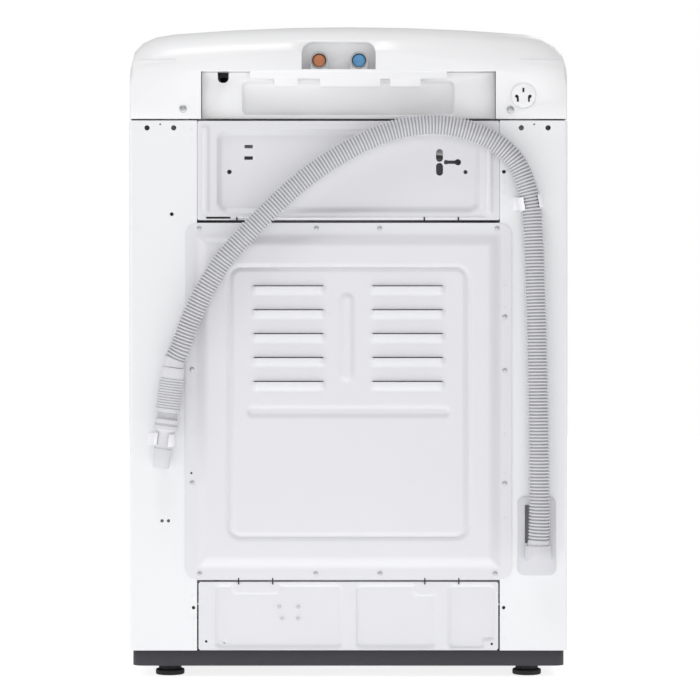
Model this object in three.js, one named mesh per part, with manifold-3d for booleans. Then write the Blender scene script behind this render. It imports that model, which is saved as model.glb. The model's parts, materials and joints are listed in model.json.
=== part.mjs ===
// A top load washing machine, in millimetres, +Z up.
// The origin is on the floor, under the middle of the machine. The front faces -Y, the back faces +Y.

import * as THREE from 'three';
import { mergeVertices } from 'three/addons/utils/BufferGeometryUtils.js';
import Module from 'manifold-3d';

const wasm = await Module();
wasm.setup();

// ---- driving dimensions ----------------------------------------------------------------------

const gap = 0.3; // between pieces that touch
const play = 0.5; // radial, around pieces that move

const machine = { width: 632, frontY: -325, rearY: 300, frontCornerR: 20, rearCornerR: 6 };
const base = { z: 17, height: 22, inset: 4.6, wall: 3, cornerR: 14, openingR: 205 };
const sheet = 1.2; // cabinet steel
const cabinet = { top: 802.5, flangeEdge: 218, gussetZ: 766, gussetReach: 92, gussetThick: 3 };
const cover = { bottom: 805, crestZ: 946, crestY: 232, rearRollZ: 886, overhang: 12, wall: 3 };
const deck = { frontZ: 880, rearZ: 896, frontRoll: 45, rearY: 118, edgeScale: 0.45 };
const arch = { cornerRun: 61, cornerDrop: 54, crown: 10.5 };
const backConsole = { slopeTopY: 208, slopeTopZ: 940, panelHalfX: 190, panelHalfY: 38, inset: 3, thick: 3 };
const lid = { halfX: 262, frontY: -288, rearY: 112, thick: 20, wall: 3, cornerR: 28, rearR: 6, gap: 2, hingeGap: 7 };
const lidWindow = { halfX: 190, frontY: -236, rearY: 52, cornerR: 60, thick: 4, lip: 8 };
const mouth = { halfX: 215, frontY: -240, rearY: 102, frontR: 150, rearR: 45, skirtZ: 815 };
const hinge = { y: 106, z: 886, r: 3, from: lid.halfX - 16, to: lid.halfX + 14 };

const upperPanel = { halfX: 217.6, bottom: 659, top: 802, thick: 1 };
const rearCover = { halfX: 235, bottom: 141, top: 655, cornerR: 18, thick: 1, rim: 15, slope: 19, rise: 7 };
const lowerPanel = { halfX: 215.8, bottom: 39.6, top: 138, thick: 1 };
const louvre = { x: [32.4, 139.4], top: 563.3, pitch: 34.3, rows: 5, height: 4 };
const recess = { halfX: 212, top: 873.5, floorY: 288, panHalfX: 154, panFloorY: 273, thick: 3 };
const alcove = { left: -39.3, right: 67.5, top: 917.7, wallY: 262, cornerR: 16 };
const inlet = { hotX: 42.3, coldX: -15.3, threadR: 13.2, boreR: 10.6, tipY: 291, clear: 0.9 };
inlet.z = recess.top + recess.thick + inlet.clear + inlet.threadR; // the collar stays clear of the alcove's floor
const plugRest = { x: -252, z: 838.4, r: 18, thick: 4 };

const tub = { y: -22, bottom: 252, top: 739, innerR: 258, wall: 3.5, lip: 53 };
const tubMouthR = tub.innerR - tub.lip;
const ringWidth = 40; // of the balance ring
const runout = 12; // between the tub and the spinning basket
const basket = { outerR: tub.innerR - runout, wall: 1.2, bottom: 307, top: 734, ringHeight: 45 };
basket.ringR = basket.outerR - ringWidth;
const pulse = { r: basket.ringR - 10, bottom: 316, rim: 8, hubR: 48, hubTop: 362, vanes: 6 };
const spin = { shaftR: 11.7, tubeR: 21.5, housingR: 38, bottom: 196 };
const motor = { statorR: 120, statorInnerR: 62, top: 234, height: 34, rotorR: 138, rotorWall: 4, air: 4 };
const rod = { x: machine.width / 2 - 54, dy: 245, r: 4, headR: 10, bottom: 288, lugZ: 340, lugThick: 14, cupR: 22 };

const drawer = { left: -198, right: -62, bottom: 829, top: 862, depth: 132, wall: 2.5, frontY: 100 };
const foot = { x: 260, frontY: -275, rearY: 255, padR: 21, padHeight: 8, gripR: 17, stemR: 5, stemTop: 62 };
const dial = { r: 24, height: 17, shaftR: 5.7, x: 0 };
const buttonRise = 2.2;

const hose = { r: 15.5 };
const nozzleTip = new THREE.Vector3(268.9, 319, 303);
const clipWall = 2.2;

// The drain hose, from its outlet at the lower back corner up, over the back, and down to its nozzle.
const hoseRoute = [
  [-272, 318.6, 184], [-273.6, 318.6, 240], [-273.4, 318.6, 300], [-272.4, 318.6, 372], [-271, 318.6, 443],
  [-269.7, 318.6, 505], [-267.4, 318.6, 572], [-265.3, 318.6, 630], [-261.6, 318.6, 680], [-253.8, 318.6, 712],
  [-240.5, 318.6, 741], [-220.9, 318.6, 762], [-194.5, 318.6, 778], [-163, 318.8, 789], [-124.7, 319, 794.8],
  [-70.5, 320, 788], [-20.4, 321, 769], [34, 322.5, 738], [79.1, 324, 703.5], [115, 325, 670],
  [147, 325.5, 637], [178, 325.5, 601], [203.3, 325, 562], [225.3, 323.5, 517], [241.5, 321.5, 474],
  [249.3, 320, 457.2], [250.5, 320, 447.2],
].map(([x, y, z]) => new THREE.Vector3(x, y, z));

const finish = {
  enamel: { color: 0xf0f1f4, roughness: 0.35, metalness: 0.0 },
  backSheet: { color: 0xe2e3e9, roughness: 0.4, metalness: 0.1 },
  whitePlastic: { color: 0xf4f4f6, roughness: 0.45, metalness: 0.0 },
  greyPlastic: { color: 0xc9cacf, roughness: 0.5, metalness: 0.0 },
  charcoal: { color: 0x3f3f45, roughness: 0.6, metalness: 0.0 },
  black: { color: 0x2b2c30, roughness: 0.7, metalness: 0.0 },
  hose: { color: 0xd8d8dc, roughness: 0.5, metalness: 0.0 },
  glass: { color: 0x8f9aa3, roughness: 0.08, metalness: 0.0 },
  stainless: { color: 0xb9bcc0, roughness: 0.3, metalness: 0.9 },
  zinc: { color: 0xa9acb0, roughness: 0.4, metalness: 0.8 },
  cast: { color: 0x8d9094, roughness: 0.5, metalness: 0.8 },
  copper: { color: 0xa86a3c, roughness: 0.4, metalness: 0.7 },
  hot: { color: 0xd98e5a, roughness: 0.4, metalness: 0.0 },
  cold: { color: 0x6fa8d8, roughness: 0.4, metalness: 0.0 },
};

// ---- solids ----------------------------------------------------------------------------------

const halfWidth = machine.width / 2;
const machineFront = machine.frontY - cover.overhang;

// A closed geometry as a solid, with its faces turned outwards.
function solid(geometry) {
  const bare = new THREE.BufferGeometry();
  bare.setAttribute('position', geometry.getAttribute('position'));
  if (geometry.index) bare.setIndex(geometry.index);
  const merged = mergeVertices(bare, 1e-4);
  const points = merged.getAttribute('position');
  const index = merged.index.array;
  const corners = [];
  let volume = 0;
  const a = new THREE.Vector3();
  const b = new THREE.Vector3();
  const c = new THREE.Vector3();
  for (let i = 0; i < index.length; i += 3) {
    const [p, q, r] = [index[i], index[i + 1], index[i + 2]];
    if (p === q || q === r || r === p) continue;
    corners.push(p, q, r);
    a.fromBufferAttribute(points, p);
    b.fromBufferAttribute(points, q);
    c.fromBufferAttribute(points, r);
    volume += a.dot(b.cross(c));
  }
  if (volume < 0) corners.reverse();
  const mesh = new wasm.Mesh({
    numProp: 3,
    vertProperties: new Float32Array(points.array),
    triVerts: new Uint32Array(corners),
  });
  return new wasm.Manifold(mesh);
}

function geometryOf(body) {
  const mesh = body.getMesh();
  const geometry = new THREE.BufferGeometry();
  geometry.setAttribute('position', new THREE.BufferAttribute(mesh.vertProperties, 3));
  geometry.setIndex(new THREE.BufferAttribute(mesh.triVerts, 1));
  return geometry;
}

const union = (...bodies) => bodies.flat(2).reduce((whole, body) => whole.add(body));
const without = (body, ...cuts) => cuts.flat(2).reduce((rest, cut) => rest.subtract(cut), body);

function block(x0, x1, y0, y1, z0, z1) {
  const box = new THREE.BoxGeometry(x1 - x0, y1 - y0, z1 - z0);
  return solid(box.translate((x0 + x1) / 2, (y0 + y1) / 2, (z0 + z1) / 2));
}

// A prism along an axis: an outline in (y, z) along x, in (x, z) along y, or in (x, y) along z.
const prismTurn = {
  x: new THREE.Matrix4().set(0, 0, 1, 0, 1, 0, 0, 0, 0, 1, 0, 0, 0, 0, 0, 1),
  y: new THREE.Matrix4().set(1, 0, 0, 0, 0, 0, -1, 0, 0, 1, 0, 0, 0, 0, 0, 1),
  z: new THREE.Matrix4(),
};
function prism(axis, outline, from, to, curveSegments = 3) {
  const shape = Array.isArray(outline) ? new THREE.Shape(outline.map((p) => new THREE.Vector2(...p))) : outline;
  const depth = to - from;
  const geometry = new THREE.ExtrudeGeometry(shape, { depth, bevelEnabled: false, curveSegments });
  geometry.applyMatrix4(prismTurn[axis]);
  const start = { x: [from, 0, 0], y: [0, to, 0], z: [0, 0, from] }[axis];
  return solid(geometry.translate(...start));
}

// A rectangle with round corners: r is one radius, or one for the low side and one for the high side.
function roundedRect(u0, u1, v0, v1, r) {
  const [low, high] = Array.isArray(r) ? r : [r, r];
  const shape = new THREE.Shape();
  shape.moveTo(u0 + low, v0);
  shape.lineTo(u1 - low, v0);
  shape.absarc(u1 - low, v0 + low, low, -Math.PI / 2, 0);
  shape.lineTo(u1, v1 - high);
  shape.absarc(u1 - high, v1 - high, high, 0, Math.PI / 2);
  shape.lineTo(u0 + high, v1);
  shape.absarc(u0 + high, v1 - high, high, Math.PI / 2, Math.PI);
  shape.lineTo(u0, v0 + low);
  shape.absarc(u0 + low, v0 + low, low, Math.PI, Math.PI * 1.5);
  return shape;
}

// A cylinder along x, y or z, centred on the other two coordinates.
function cylinder(axis, u, v, r, from, to, sides = 16) {
  const barrel = new THREE.CylinderGeometry(r, r, to - from, sides);
  const middle = (from + to) / 2;
  if (axis === 'x') return solid(barrel.rotateZ(-Math.PI / 2).translate(middle, u, v));
  if (axis === 'y') return solid(barrel.translate(u, middle, v));
  return solid(barrel.rotateX(Math.PI / 2).translate(u, v, middle));
}

// A profile of [radius, height] points turned about a vertical axis.
function turned(profile, sides = 36, x = 0, y = 0) {
  const points = profile.map(([r, z]) => new THREE.Vector2(Math.max(r, 0), z));
  return solid(new THREE.LatheGeometry(points, sides).rotateX(Math.PI / 2).translate(x, y, 0));
}
const closed = (profile) => [...profile, profile[0]];

// A solid through a row of rings that all have the same number of points and are all convex.
function loft(rings) {
  const count = rings[0].length;
  const points = rings.flat().flatMap((p) => [p.x, p.y, p.z]);
  const index = [];
  for (let ring = 0; ring + 1 < rings.length; ring++) {
    for (let i = 0; i < count; i++) {
      const j = (i + 1) % count;
      const [a, b] = [ring * count + i, ring * count + j];
      index.push(a, b, b + count, a, b + count, a + count);
    }
  }
  const last = (rings.length - 1) * count;
  for (let i = 1; i + 1 < count; i++) {
    index.push(0, i + 1, i, last, last + i, last + i + 1);
  }
  const geometry = new THREE.BufferGeometry();
  geometry.setAttribute('position', new THREE.Float32BufferAttribute(points, 3));
  geometry.setIndex(index);
  return solid(geometry);
}

// The ring of a rounded rectangle in x and z, at one y.
function panelRing(x0, x1, z0, z1, r, y) {
  return roundedRect(x0, x1, z0, z1, r).getPoints(2).slice(0, -1).map((p) => new THREE.Vector3(p.x, y, p.y));
}

// A tray pressed into a sheet (rise < 0) or a plateau pressed out of it (rise > 0). The sheet's outer
// face is at y. It gives the solid that the pressing adds and the solid that it takes away.
function pressing([x0, x1, z0, z1], r, y, rise, slope, thick) {
  const ring = (grow, level) => panelRing(x0 - grow, x1 + grow, z0 - grow, z1 + grow,
    Math.max(r + grow, 0.5), level);
  const back = y - thick;
  if (rise > 0) {
    return {
      add: loft([ring(0, y - thick / 2), ring(0, y), ring(-slope, y + rise)]),
      cut: loft([ring(-thick, back - 1), ring(-thick, back), ring(-slope - thick, back + rise)]),
    };
  }
  return {
    add: loft([ring(thick, back + thick / 2), ring(thick, back), ring(thick - slope, back + rise)]),
    cut: loft([ring(0, y + 1), ring(0, y), ring(-slope, y + rise)]),
  };
}
const press = (body, pressed) => body.add(pressed.add).subtract(pressed.cut);

// ---- model tree ------------------------------------------------------------------------------

const machineGroup = new THREE.Group();

function part(name, body, look, parent = machineGroup) {
  const geometry = geometryOf(body);
  geometry.computeVertexNormals();
  const mesh = new THREE.Mesh(geometry, new THREE.MeshStandardMaterial(look));
  mesh.name = name;
  parent.add(mesh);
  return mesh;
}

// ---- cabinet ---------------------------------------------------------------------------------

function makeBase() {
  const side = halfWidth - base.inset;
  const [front, rear] = [machine.frontY + base.inset, machine.rearY - base.inset / 2];
  const top = base.z + base.height;
  const outer = prism('z', roundedRect(-side, side, front, rear, base.cornerR), base.z, top);
  const hollow = prism('z', roundedRect(-side + base.wall, side - base.wall, front + base.wall,
    rear - base.wall, base.cornerR - base.wall), base.z + base.wall, top + 1);
  const bosses = footPlaces.map(([, x, y]) => cylinder('z', x, y, foot.stemR + 9, base.z + 1, top - 3));
  const bores = footPlaces.map(([, x, y]) => cylinder('z', x, y, foot.stemR + play, 0, top + 1, 16));
  const pan = union(outer.subtract(hollow), bosses);
  part('base_pan', without(pan, cylinder('z', 0, tub.y, base.openingR, 0, top, 48), bores), finish.charcoal);
}

const footPlaces = [
  ['front_left', -foot.x, foot.frontY], ['front_right', foot.x, foot.frontY],
  ['rear_left', -foot.x, foot.rearY], ['rear_right', foot.x, foot.rearY],
];

function cabinetOutline(inset) {
  const side = halfWidth - inset;
  return roundedRect(-side, side, machine.frontY + inset, machine.rearY - inset,
    [machine.frontCornerR - inset, machine.rearCornerR - inset]);
}

const rodPlaces = [
  ['front_left', -rod.x, tub.y - rod.dy], ['front_right', rod.x, tub.y - rod.dy],
  ['rear_left', -rod.x, tub.y + rod.dy], ['rear_right', rod.x, tub.y + rod.dy],
];

// A three-cornered plate across each top corner, which a suspension rod hangs from.
function cornerGusset([, x, y]) {
  const [sx, sy] = [Math.sign(x), Math.sign(y)];
  const wallX = sx * (halfWidth - sheet / 2);
  const wallY = y < 0 ? machine.frontY + sheet / 2 : machine.rearY - sheet / 2;
  const corner = [[wallX, wallY], [wallX - sx * cabinet.gussetReach, wallY],
    [wallX - sx * cabinet.gussetReach, wallY - sy * 20], [wallX - sx * 20, wallY - sy * cabinet.gussetReach],
    [wallX, wallY - sy * cabinet.gussetReach]];
  const outline = sx * sy > 0 ? corner : corner.reverse();
  const plate = prism('z', outline, cabinet.gussetZ, cabinet.gussetZ + cabinet.gussetThick);
  return plate.subtract(cylinder('z', x, y, rod.r + 2, cabinet.gussetZ - 1, cabinet.top, 16));
}

function makeCabinetShell() {
  const bottom = base.z + base.height + gap;
  const outer = prism('z', cabinetOutline(0), bottom, cabinet.top);
  const inner = prism('z', cabinetOutline(sheet), bottom - 1, cabinet.top + 1);
  const opening = block(-cabinet.flangeEdge, cabinet.flangeEdge, machine.rearY - 20, machine.rearY + 1,
    bottom - 1, cabinet.top + 1);
  const gussets = rodPlaces.map(cornerGusset);
  const clip = rodPlaces.map(([, x, y]) => block(x - 60, x + 60, y - 60, y + 60, cabinet.gussetZ - 1, cabinet.top));
  const corners = gussets.map((g, i) => g.intersect(clip[i]).intersect(prism('z', cabinetOutline(sheet / 2), 700, 790)));
  const holes = [
    [290, 792, 4], [251.6, 792, 4], [-249, 792, 4], [-287.6, 792, 4], [254.4, 667.6, 2.9],
    [-224, 728.8, 2.9], [268.3, 226, 2.5], [259.2, 226, 2.5], [222.9, 101, 2.6], [-223.5, 101, 2.6],
  ].map(([x, z, r]) => cylinder('y', x, z, r, machine.rearY - 5, machine.rearY + 5, 8));
  const outlet = block(outletBox.x0 + 8, outletBox.x1 - 8, machine.rearY - 5, machine.rearY + 5,
    outletBox.z0 + 15, outletBox.z1 - 10);
  const shell = without(union(outer.subtract(inner).subtract(opening), corners), holes, outlet);
  part('cabinet_shell', shell, finish.enamel);
}

function makeBackPanels() {
  const y = machine.rearY - 0.5;
  const upper = prism('y', roundedRect(-upperPanel.halfX, upperPanel.halfX, upperPanel.bottom, upperPanel.top, 2),
    y - upperPanel.thick, y, 2);
  const tray = pressing([-190, 190, 669.6, 790], 16, y, -7, 9, upperPanel.thick);
  const slots = [765.5, 749].map((z) => block(138, 150, y - 20, y + 5, z - 2.5, z + 2.5));
  const park = [753, 733].map((z) => cylinder('y', -131.5, z, 5, y - 20, y + 5, 12));
  const keyhole = block(-158, -141, y - 20, y + 5, 740.5, 745.5);
  const holes = [[171.8, 729, 3.3], [-169, 728.8, 2.9]].map(([x, z, r]) => cylinder('y', x, z, r, y - 20, y + 5, 12));
  part('upper_back_panel', without(press(upper, tray), slots, park, keyhole, holes), finish.backSheet);

  const lower = prism('y', roundedRect(-lowerPanel.halfX, lowerPanel.halfX, lowerPanel.bottom, lowerPanel.top, 2),
    y - lowerPanel.thick, y, 2);
  const trays = [[9, 192, 45, 130], [-126, -10.5, 45, 130], [-211, -144, 45, 130]]
    .map((box) => pressing(box, 6, y, -3, 3, lowerPanel.thick));
  part('lower_back_panel', trays.reduce(press, lower), finish.backSheet);

  const face = machine.rearY + gap + rearCover.thick;
  const sheetBody = prism('y', roundedRect(-rearCover.halfX, rearCover.halfX, rearCover.bottom, rearCover.top,
    rearCover.cornerR), face - rearCover.thick, face);
  const inset = rearCover.rim;
  const plateau = pressing([-rearCover.halfX + inset, rearCover.halfX - inset, rearCover.bottom + inset,
    rearCover.top - inset], rearCover.cornerR + rearCover.slope / 2, face, rearCover.rise, rearCover.slope, rearCover.thick);
  const slits = [];
  for (let row = 0; row < louvre.rows; row++) {
    const z = louvre.top - row * louvre.pitch;
    const [near, far] = louvre.x;
    slits.push(block(near, far, face - 5, face + 20, z - louvre.height, z));
    slits.push(block(-far, -near, face - 5, face + 20, z - louvre.height, z));
  }
  part('rear_cover', without(press(sheetBody, plateau), slits), finish.backSheet);
}

// The moulding that the drain hose leaves the cabinet by: a plate, a cup for the hose's end and a spigot.
const outletBox = { x0: -298.9, x1: -243.8, z0: 147.6, z1: 261.2, thick: 2.4 };
function makeHoseOutlet() {
  const start = hoseRoute[0];
  const face = machine.rearY + gap;
  const plate = prism('y', roundedRect(outletBox.x0, outletBox.x1, outletBox.z0, outletBox.z1, 10),
    face, face + outletBox.thick);
  const hollow = block(outletBox.x0 + 10, outletBox.x1 - 10, face - 1, face + 10, start.z + 10,
    outletBox.z1 - 12);
  const outerR = hose.r + play + 2.4;
  const cup = cylinder('z', start.x, start.y, outerR, start.z - 13, start.z + 8, 20);
  const bore = cylinder('z', start.x, start.y, hose.r + play, start.z - 1, start.z + 20, 20);
  const spigot = cylinder('y', start.x, start.z - 4, 9, machine.rearY - 40, start.y - outerR + 4, 16);
  const passage = cylinder('y', start.x, start.z - 4, 6, machine.rearY - 41, start.y, 16);
  const drop = cylinder('z', start.x, start.y, 6, start.z - 6, start.z + 1, 16);
  const sill = block(start.x - outerR, start.x + outerR, face, start.y, start.z - 13, start.z - 2);
  const body = union(plate.subtract(hollow), sill, cup, spigot);
  part('hose_outlet_housing', without(body, bore, passage, drop), finish.greyPlastic);
}

// A C-shaped clip with its mouth to the back, on a plate that lies on the cabinet.
function makeClip(name, centre, along, r, height, plateX) {
  const outer = cylinder('z', 0, 0, r + clipWall, -height / 2, height / 2, 20);
  const inner = cylinder('z', 0, 0, r, -height, height, 20);
  const mouthWidth = r * 1.3;
  const mouthCut = block(-mouthWidth / 2, mouthWidth / 2, 0, r * 2, -height, height);
  const tilt = new THREE.Quaternion().setFromUnitVectors(new THREE.Vector3(0, 0, 1), along.clone().normalize());
  const place = new THREE.Matrix4().compose(centre, tilt, new THREE.Vector3(1, 1, 1));
  const placed = (body) => solid(geometryOf(body).applyMatrix4(place));
  const face = machine.rearY + gap;
  const plate = block(plateX[0], plateX[1], face, face + 1.6, centre.z - height / 2, centre.z + height / 2);
  const web = block(centre.x - 5, centre.x + 5, face, centre.y - r, centre.z - height / 2 + 1, centre.z + height / 2 - 1);
  const ring = placed(outer.subtract(mouthCut));
  part(name, without(union(ring, plate, web), placed(inner)), finish.whitePlastic);
}

function makeHose() {
  const curve = new THREE.CatmullRomCurve3(hoseRoute, false, 'centripetal');
  const section = new THREE.Shape();
  section.absarc(0, 0, hose.r, 0, Math.PI * 2);
  const tube = new THREE.ExtrudeGeometry(new THREE.Shape(section.getPoints(5).slice(0, -1)),
    { extrudePath: curve, steps: 48, bevelEnabled: false });
  part('drain_hose', solid(tube), finish.hose);

  const start = hoseRoute.at(-1);
  const along = nozzleTip.clone().sub(start).normalize();
  const length = nozzleTip.distanceTo(start);
  const profile = closed([
    [8, gap], [16.5, gap], [16.5, 16], [18, 18], [18, 62], [14, 64], [14, 74], [17.2, 75], [17.2, 90], [12, 92],
    [12, 116], [14, 118], [11.5, length], [8, length],
  ]);
  const turn = new THREE.Quaternion().setFromUnitVectors(new THREE.Vector3(0, 0, 1), along);
  const place = new THREE.Matrix4().compose(start, turn, new THREE.Vector3(1, 1, 1));
  part('hose_end_nozzle', solid(geometryOf(turned(profile, 24)).applyMatrix4(place)), finish.hose);
  const neck = start.clone().addScaledVector(along, 104);
  makeClip('lower_hose_clip', neck, along, 12 + play, 18, [249, 289]);
  const clipAt = curve.getPointAt(0.404);
  const tangent = curve.getTangentAt(0.404);
  makeClip('upper_hose_clip', clipAt, tangent, hose.r + play, 19, [-270, -237]);
}

// ---- top cover -------------------------------------------------------------------------------

const deckZ = (y) => deck.frontZ + (deck.rearZ - deck.frontZ) * (y + 290) / (deck.rearY + 290);

// The height of the cover's top along the middle line, and how strongly its edges fall away.
function crownLine() {
  const line = [];
  const rollStart = machineFront + deck.frontRoll;
  for (let i = 4; i >= 1; i--) {
    const turn = (i / 4) * Math.PI / 2;
    line.push([rollStart - deck.frontRoll * Math.sin(turn), deck.frontZ - deck.frontRoll * (1 - Math.cos(turn))]);
  }
  for (const y of [rollStart, -200, -50, deck.rearY]) line.push([y, deckZ(y)]);
  line.push([160, THREE.MathUtils.mapLinear(160, deck.rearY, backConsole.slopeTopY, deck.rearZ, backConsole.slopeTopZ)]);
  line.push([backConsole.slopeTopY, backConsole.slopeTopZ]);
  line.push([220, cover.crestZ - 1.5]);
  const [across, down] = [machine.rearY - cover.crestY, cover.crestZ - cover.rearRollZ];
  for (let i = 0; i <= 5; i++) {
    const turn = (i / 5) * Math.PI / 2;
    line.push([cover.crestY + across * Math.sin(turn), cover.rearRollZ + down * Math.cos(turn)]);
  }
  return line;
}

function edgeScale(y) {
  return THREE.MathUtils.lerp(deck.edgeScale, 1, THREE.MathUtils.smoothstep(y, deck.rearY, cover.crestY));
}

function halfWidthAt(y) {
  const front = Math.max(0, machineFront + 40 - y) / 40;
  const rear = Math.max(0, y - machine.rearY + 6) / 6;
  return halfWidth - 28 * (1 - Math.sqrt(1 - front * front)) - 3 * rear;
}

// The cover's section at one y: up one side, round the corner, over the crown and down the other side.
function coverRing(y, z, inset, lowZ, at = y) {
  const k = edgeScale(at);
  const side = halfWidthAt(at) - inset;
  const [cornerX, cornerZ] = [side - arch.cornerRun, z - arch.crown * k];
  const corner = new THREE.CubicBezierCurve(
    new THREE.Vector2(side, z - arch.cornerDrop * k), new THREE.Vector2(side, z - arch.cornerDrop * k * 0.52),
    new THREE.Vector2(cornerX + 38, cornerZ - 3.2 * k), new THREE.Vector2(cornerX, cornerZ));
  const half = [new THREE.Vector2(side, lowZ), ...corner.getPoints(4)];
  for (const share of [0.66, 0.33]) {
    half.push(new THREE.Vector2(cornerX * share, z - arch.crown * k * share * share));
  }
  const mirrored = half.map((p) => new THREE.Vector2(-p.x, p.y)).reverse();
  return [...half, new THREE.Vector2(0, z), ...mirrored].map((p) => new THREE.Vector3(p.x, y, p.y));
}

function coverSolid(inset, lowZ) {
  const line = crownLine();
  const rings = line.map(([y, z], i) => {
    const before = line[Math.max(i - 1, 0)];
    const after = line[Math.min(i + 1, line.length - 1)];
    const normal = new THREE.Vector2(after[1] - before[1], before[0] - after[0]).normalize();
    if (i === 0) normal.set(1, 0);
    if (i === line.length - 1) normal.set(-1, 0);
    return coverRing(y + normal.x * inset, z + normal.y * inset, inset, lowZ, y);
  });
  return loft(rings);
}

// Everything above a plane that runs parallel to the deck, this far below it.
const aboveDeck = (down) => prism('x',
  [[-400, deckZ(-400) - down], [250, deckZ(250) - down], [250, 1100], [-400, 1100]], -400, 400);

const mouthOutline = (grow) => roundedRect(-mouth.halfX - grow, mouth.halfX + grow,
  mouth.frontY - grow, mouth.rearY + grow, [mouth.frontR + grow, mouth.rearR + grow]);
const lidOutline = (grow, rear) => roundedRect(-lid.halfX - grow, lid.halfX + grow, lid.frontY - grow,
  rear, [lid.cornerR + grow, lid.rearR]);
const windowOutline = (grow) => roundedRect(-lidWindow.halfX - grow, lidWindow.halfX + grow,
  lidWindow.frontY - grow, lidWindow.rearY + grow, lidWindow.cornerR + grow);

// The control panel's own frame: y up the slope and z out of it, from the middle of the panel.
const slopeAngle = Math.atan2(backConsole.slopeTopZ - deck.rearZ, backConsole.slopeTopY - deck.rearY);
const panelY = (deck.rearY + backConsole.slopeTopY) / 2;
const panelPlace = new THREE.Matrix4().makeRotationX(slopeAngle).setPosition(
  0, panelY, (deck.rearZ + backConsole.slopeTopZ) / 2 - backConsole.inset);
const onPanel = (body) => solid(geometryOf(body).applyMatrix4(panelPlace));
const buttons = [
  ['power_button', -165, 10], ['start_button', 165, 11], ['cycle_button', -125, 8], ['rinse_button', -92, 8],
];
const display = { x0: 50, x1: 132, y0: -15, y1: 15, thick: 2.4 };

function makeTopCover(outer) {
  const rear = lid.rearY + lid.hingeGap;
  const below = lid.thick + lid.gap;
  const pocket = prism('z', lidOutline(lid.gap, rear), 700, 1100).intersect(aboveDeck(below));
  const tray = prism('z', lidOutline(lid.gap + cover.wall, rear + cover.wall), 700, 1100)
    .intersect(aboveDeck(below + cover.wall)).intersect(outer);
  const skirt = prism('z', mouthOutline(cover.wall), mouth.skirtZ, 1100).intersect(outer)
    .subtract(aboveDeck(below + 1));
  const mouthCut = prism('z', mouthOutline(0), 700, 1100);
  const { panelHalfX: px, panelHalfY: py, thick } = backConsole;
  const seat = onPanel(block(-px - 6, px + 6, -py - 4, py + 4, -thick - gap - 3, 20)).intersect(outer);
  const seatCut = onPanel(block(-px - gap, px + gap, -py - gap, py + gap, -thick - gap, 40));
  const seatHole = onPanel(block(-px + 6, px - 6, -py + 5, py - 5, -30, 40));
  const alcoveOutline = (grow) => roundedRect(alcove.left - grow, alcove.right + grow,
    recess.top + cover.wall - grow, alcove.top + grow, [1, alcove.cornerR + grow]);
  const alcoveBox = prism('y', alcoveOutline(cover.wall), alcove.wallY - cover.wall, machine.rearY).intersect(outer);
  const alcoveCut = prism('y', alcoveOutline(0), alcove.wallY, machine.rearY + 5);
  const valveHoles = [inlet.hotX, inlet.coldX].map((x) => cylinder('y', x, inlet.z, 12.4, 200, machine.rearY));
  const recessCut = block(-recess.halfX - gap, recess.halfX + gap, machine.rearY - 25, machine.rearY + 5,
    cover.bottom - 1, recess.top);
  const ledge = block(-recess.halfX - 3, recess.halfX + 3, recess.floorY - 6, machine.rearY,
    recess.top, recess.top + cover.wall).intersect(outer);
  const tabs = [[73, 107], [-46, 41], [-104, -60]].map(([a, b]) =>
    block(a, b, machine.rearY - 5, machine.rearY - 2, 852, recess.top + 1));
  const lip = block(-142, 142, machine.rearY - 5, machine.rearY - 2, 863, recess.top + 1);
  const slot = cylinder('y', plugRest.x, plugRest.z, plugRest.r + gap, machine.rearY - 9, machine.rearY + 5, 32);
  // The hole for the drawer reaches forward to where the mouth's rounded corner crosses the drawer's side.
  const intoCorner = Math.min(mouth.rearR, Math.max(0, 1 - drawer.left - (mouth.halfX - mouth.rearR)));
  const cornerY = mouth.rearY - mouth.rearR + Math.sqrt(mouth.rearR ** 2 - intoCorner ** 2);
  const drawerHole = block(drawer.left - 1, drawer.right + 1, cornerY - 3, mouth.rearY + 15,
    drawer.bottom - 1, drawer.top + 1);
  const finger = block(-55, 55, lid.frontY - 22, lid.frontY + 8, deck.frontZ - 16, 1000);
  const fingerBox = block(-58, 58, lid.frontY - 25, lid.frontY + 8, deck.frontZ - 19, 1000).intersect(outer);
  const pinHoles = cylinder('x', hinge.y, hinge.z, hinge.r + gap, -hinge.to - 1, hinge.to + 1, 16);
  const shell = outer.subtract(coverSolid(cover.wall, cover.bottom - 2));
  const solidBits = union(shell, tray, seat, alcoveBox, ledge, fingerBox);
  const cutOnce = without(solidBits, pocket, seatCut, seatHole, alcoveCut, valveHoles, recessCut, slot, finger);
  const body = without(union(cutOnce, skirt, tabs, lip), mouthCut, drawerHole, pinHoles);
  part('top_cover', body, finish.whitePlastic);
}

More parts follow.
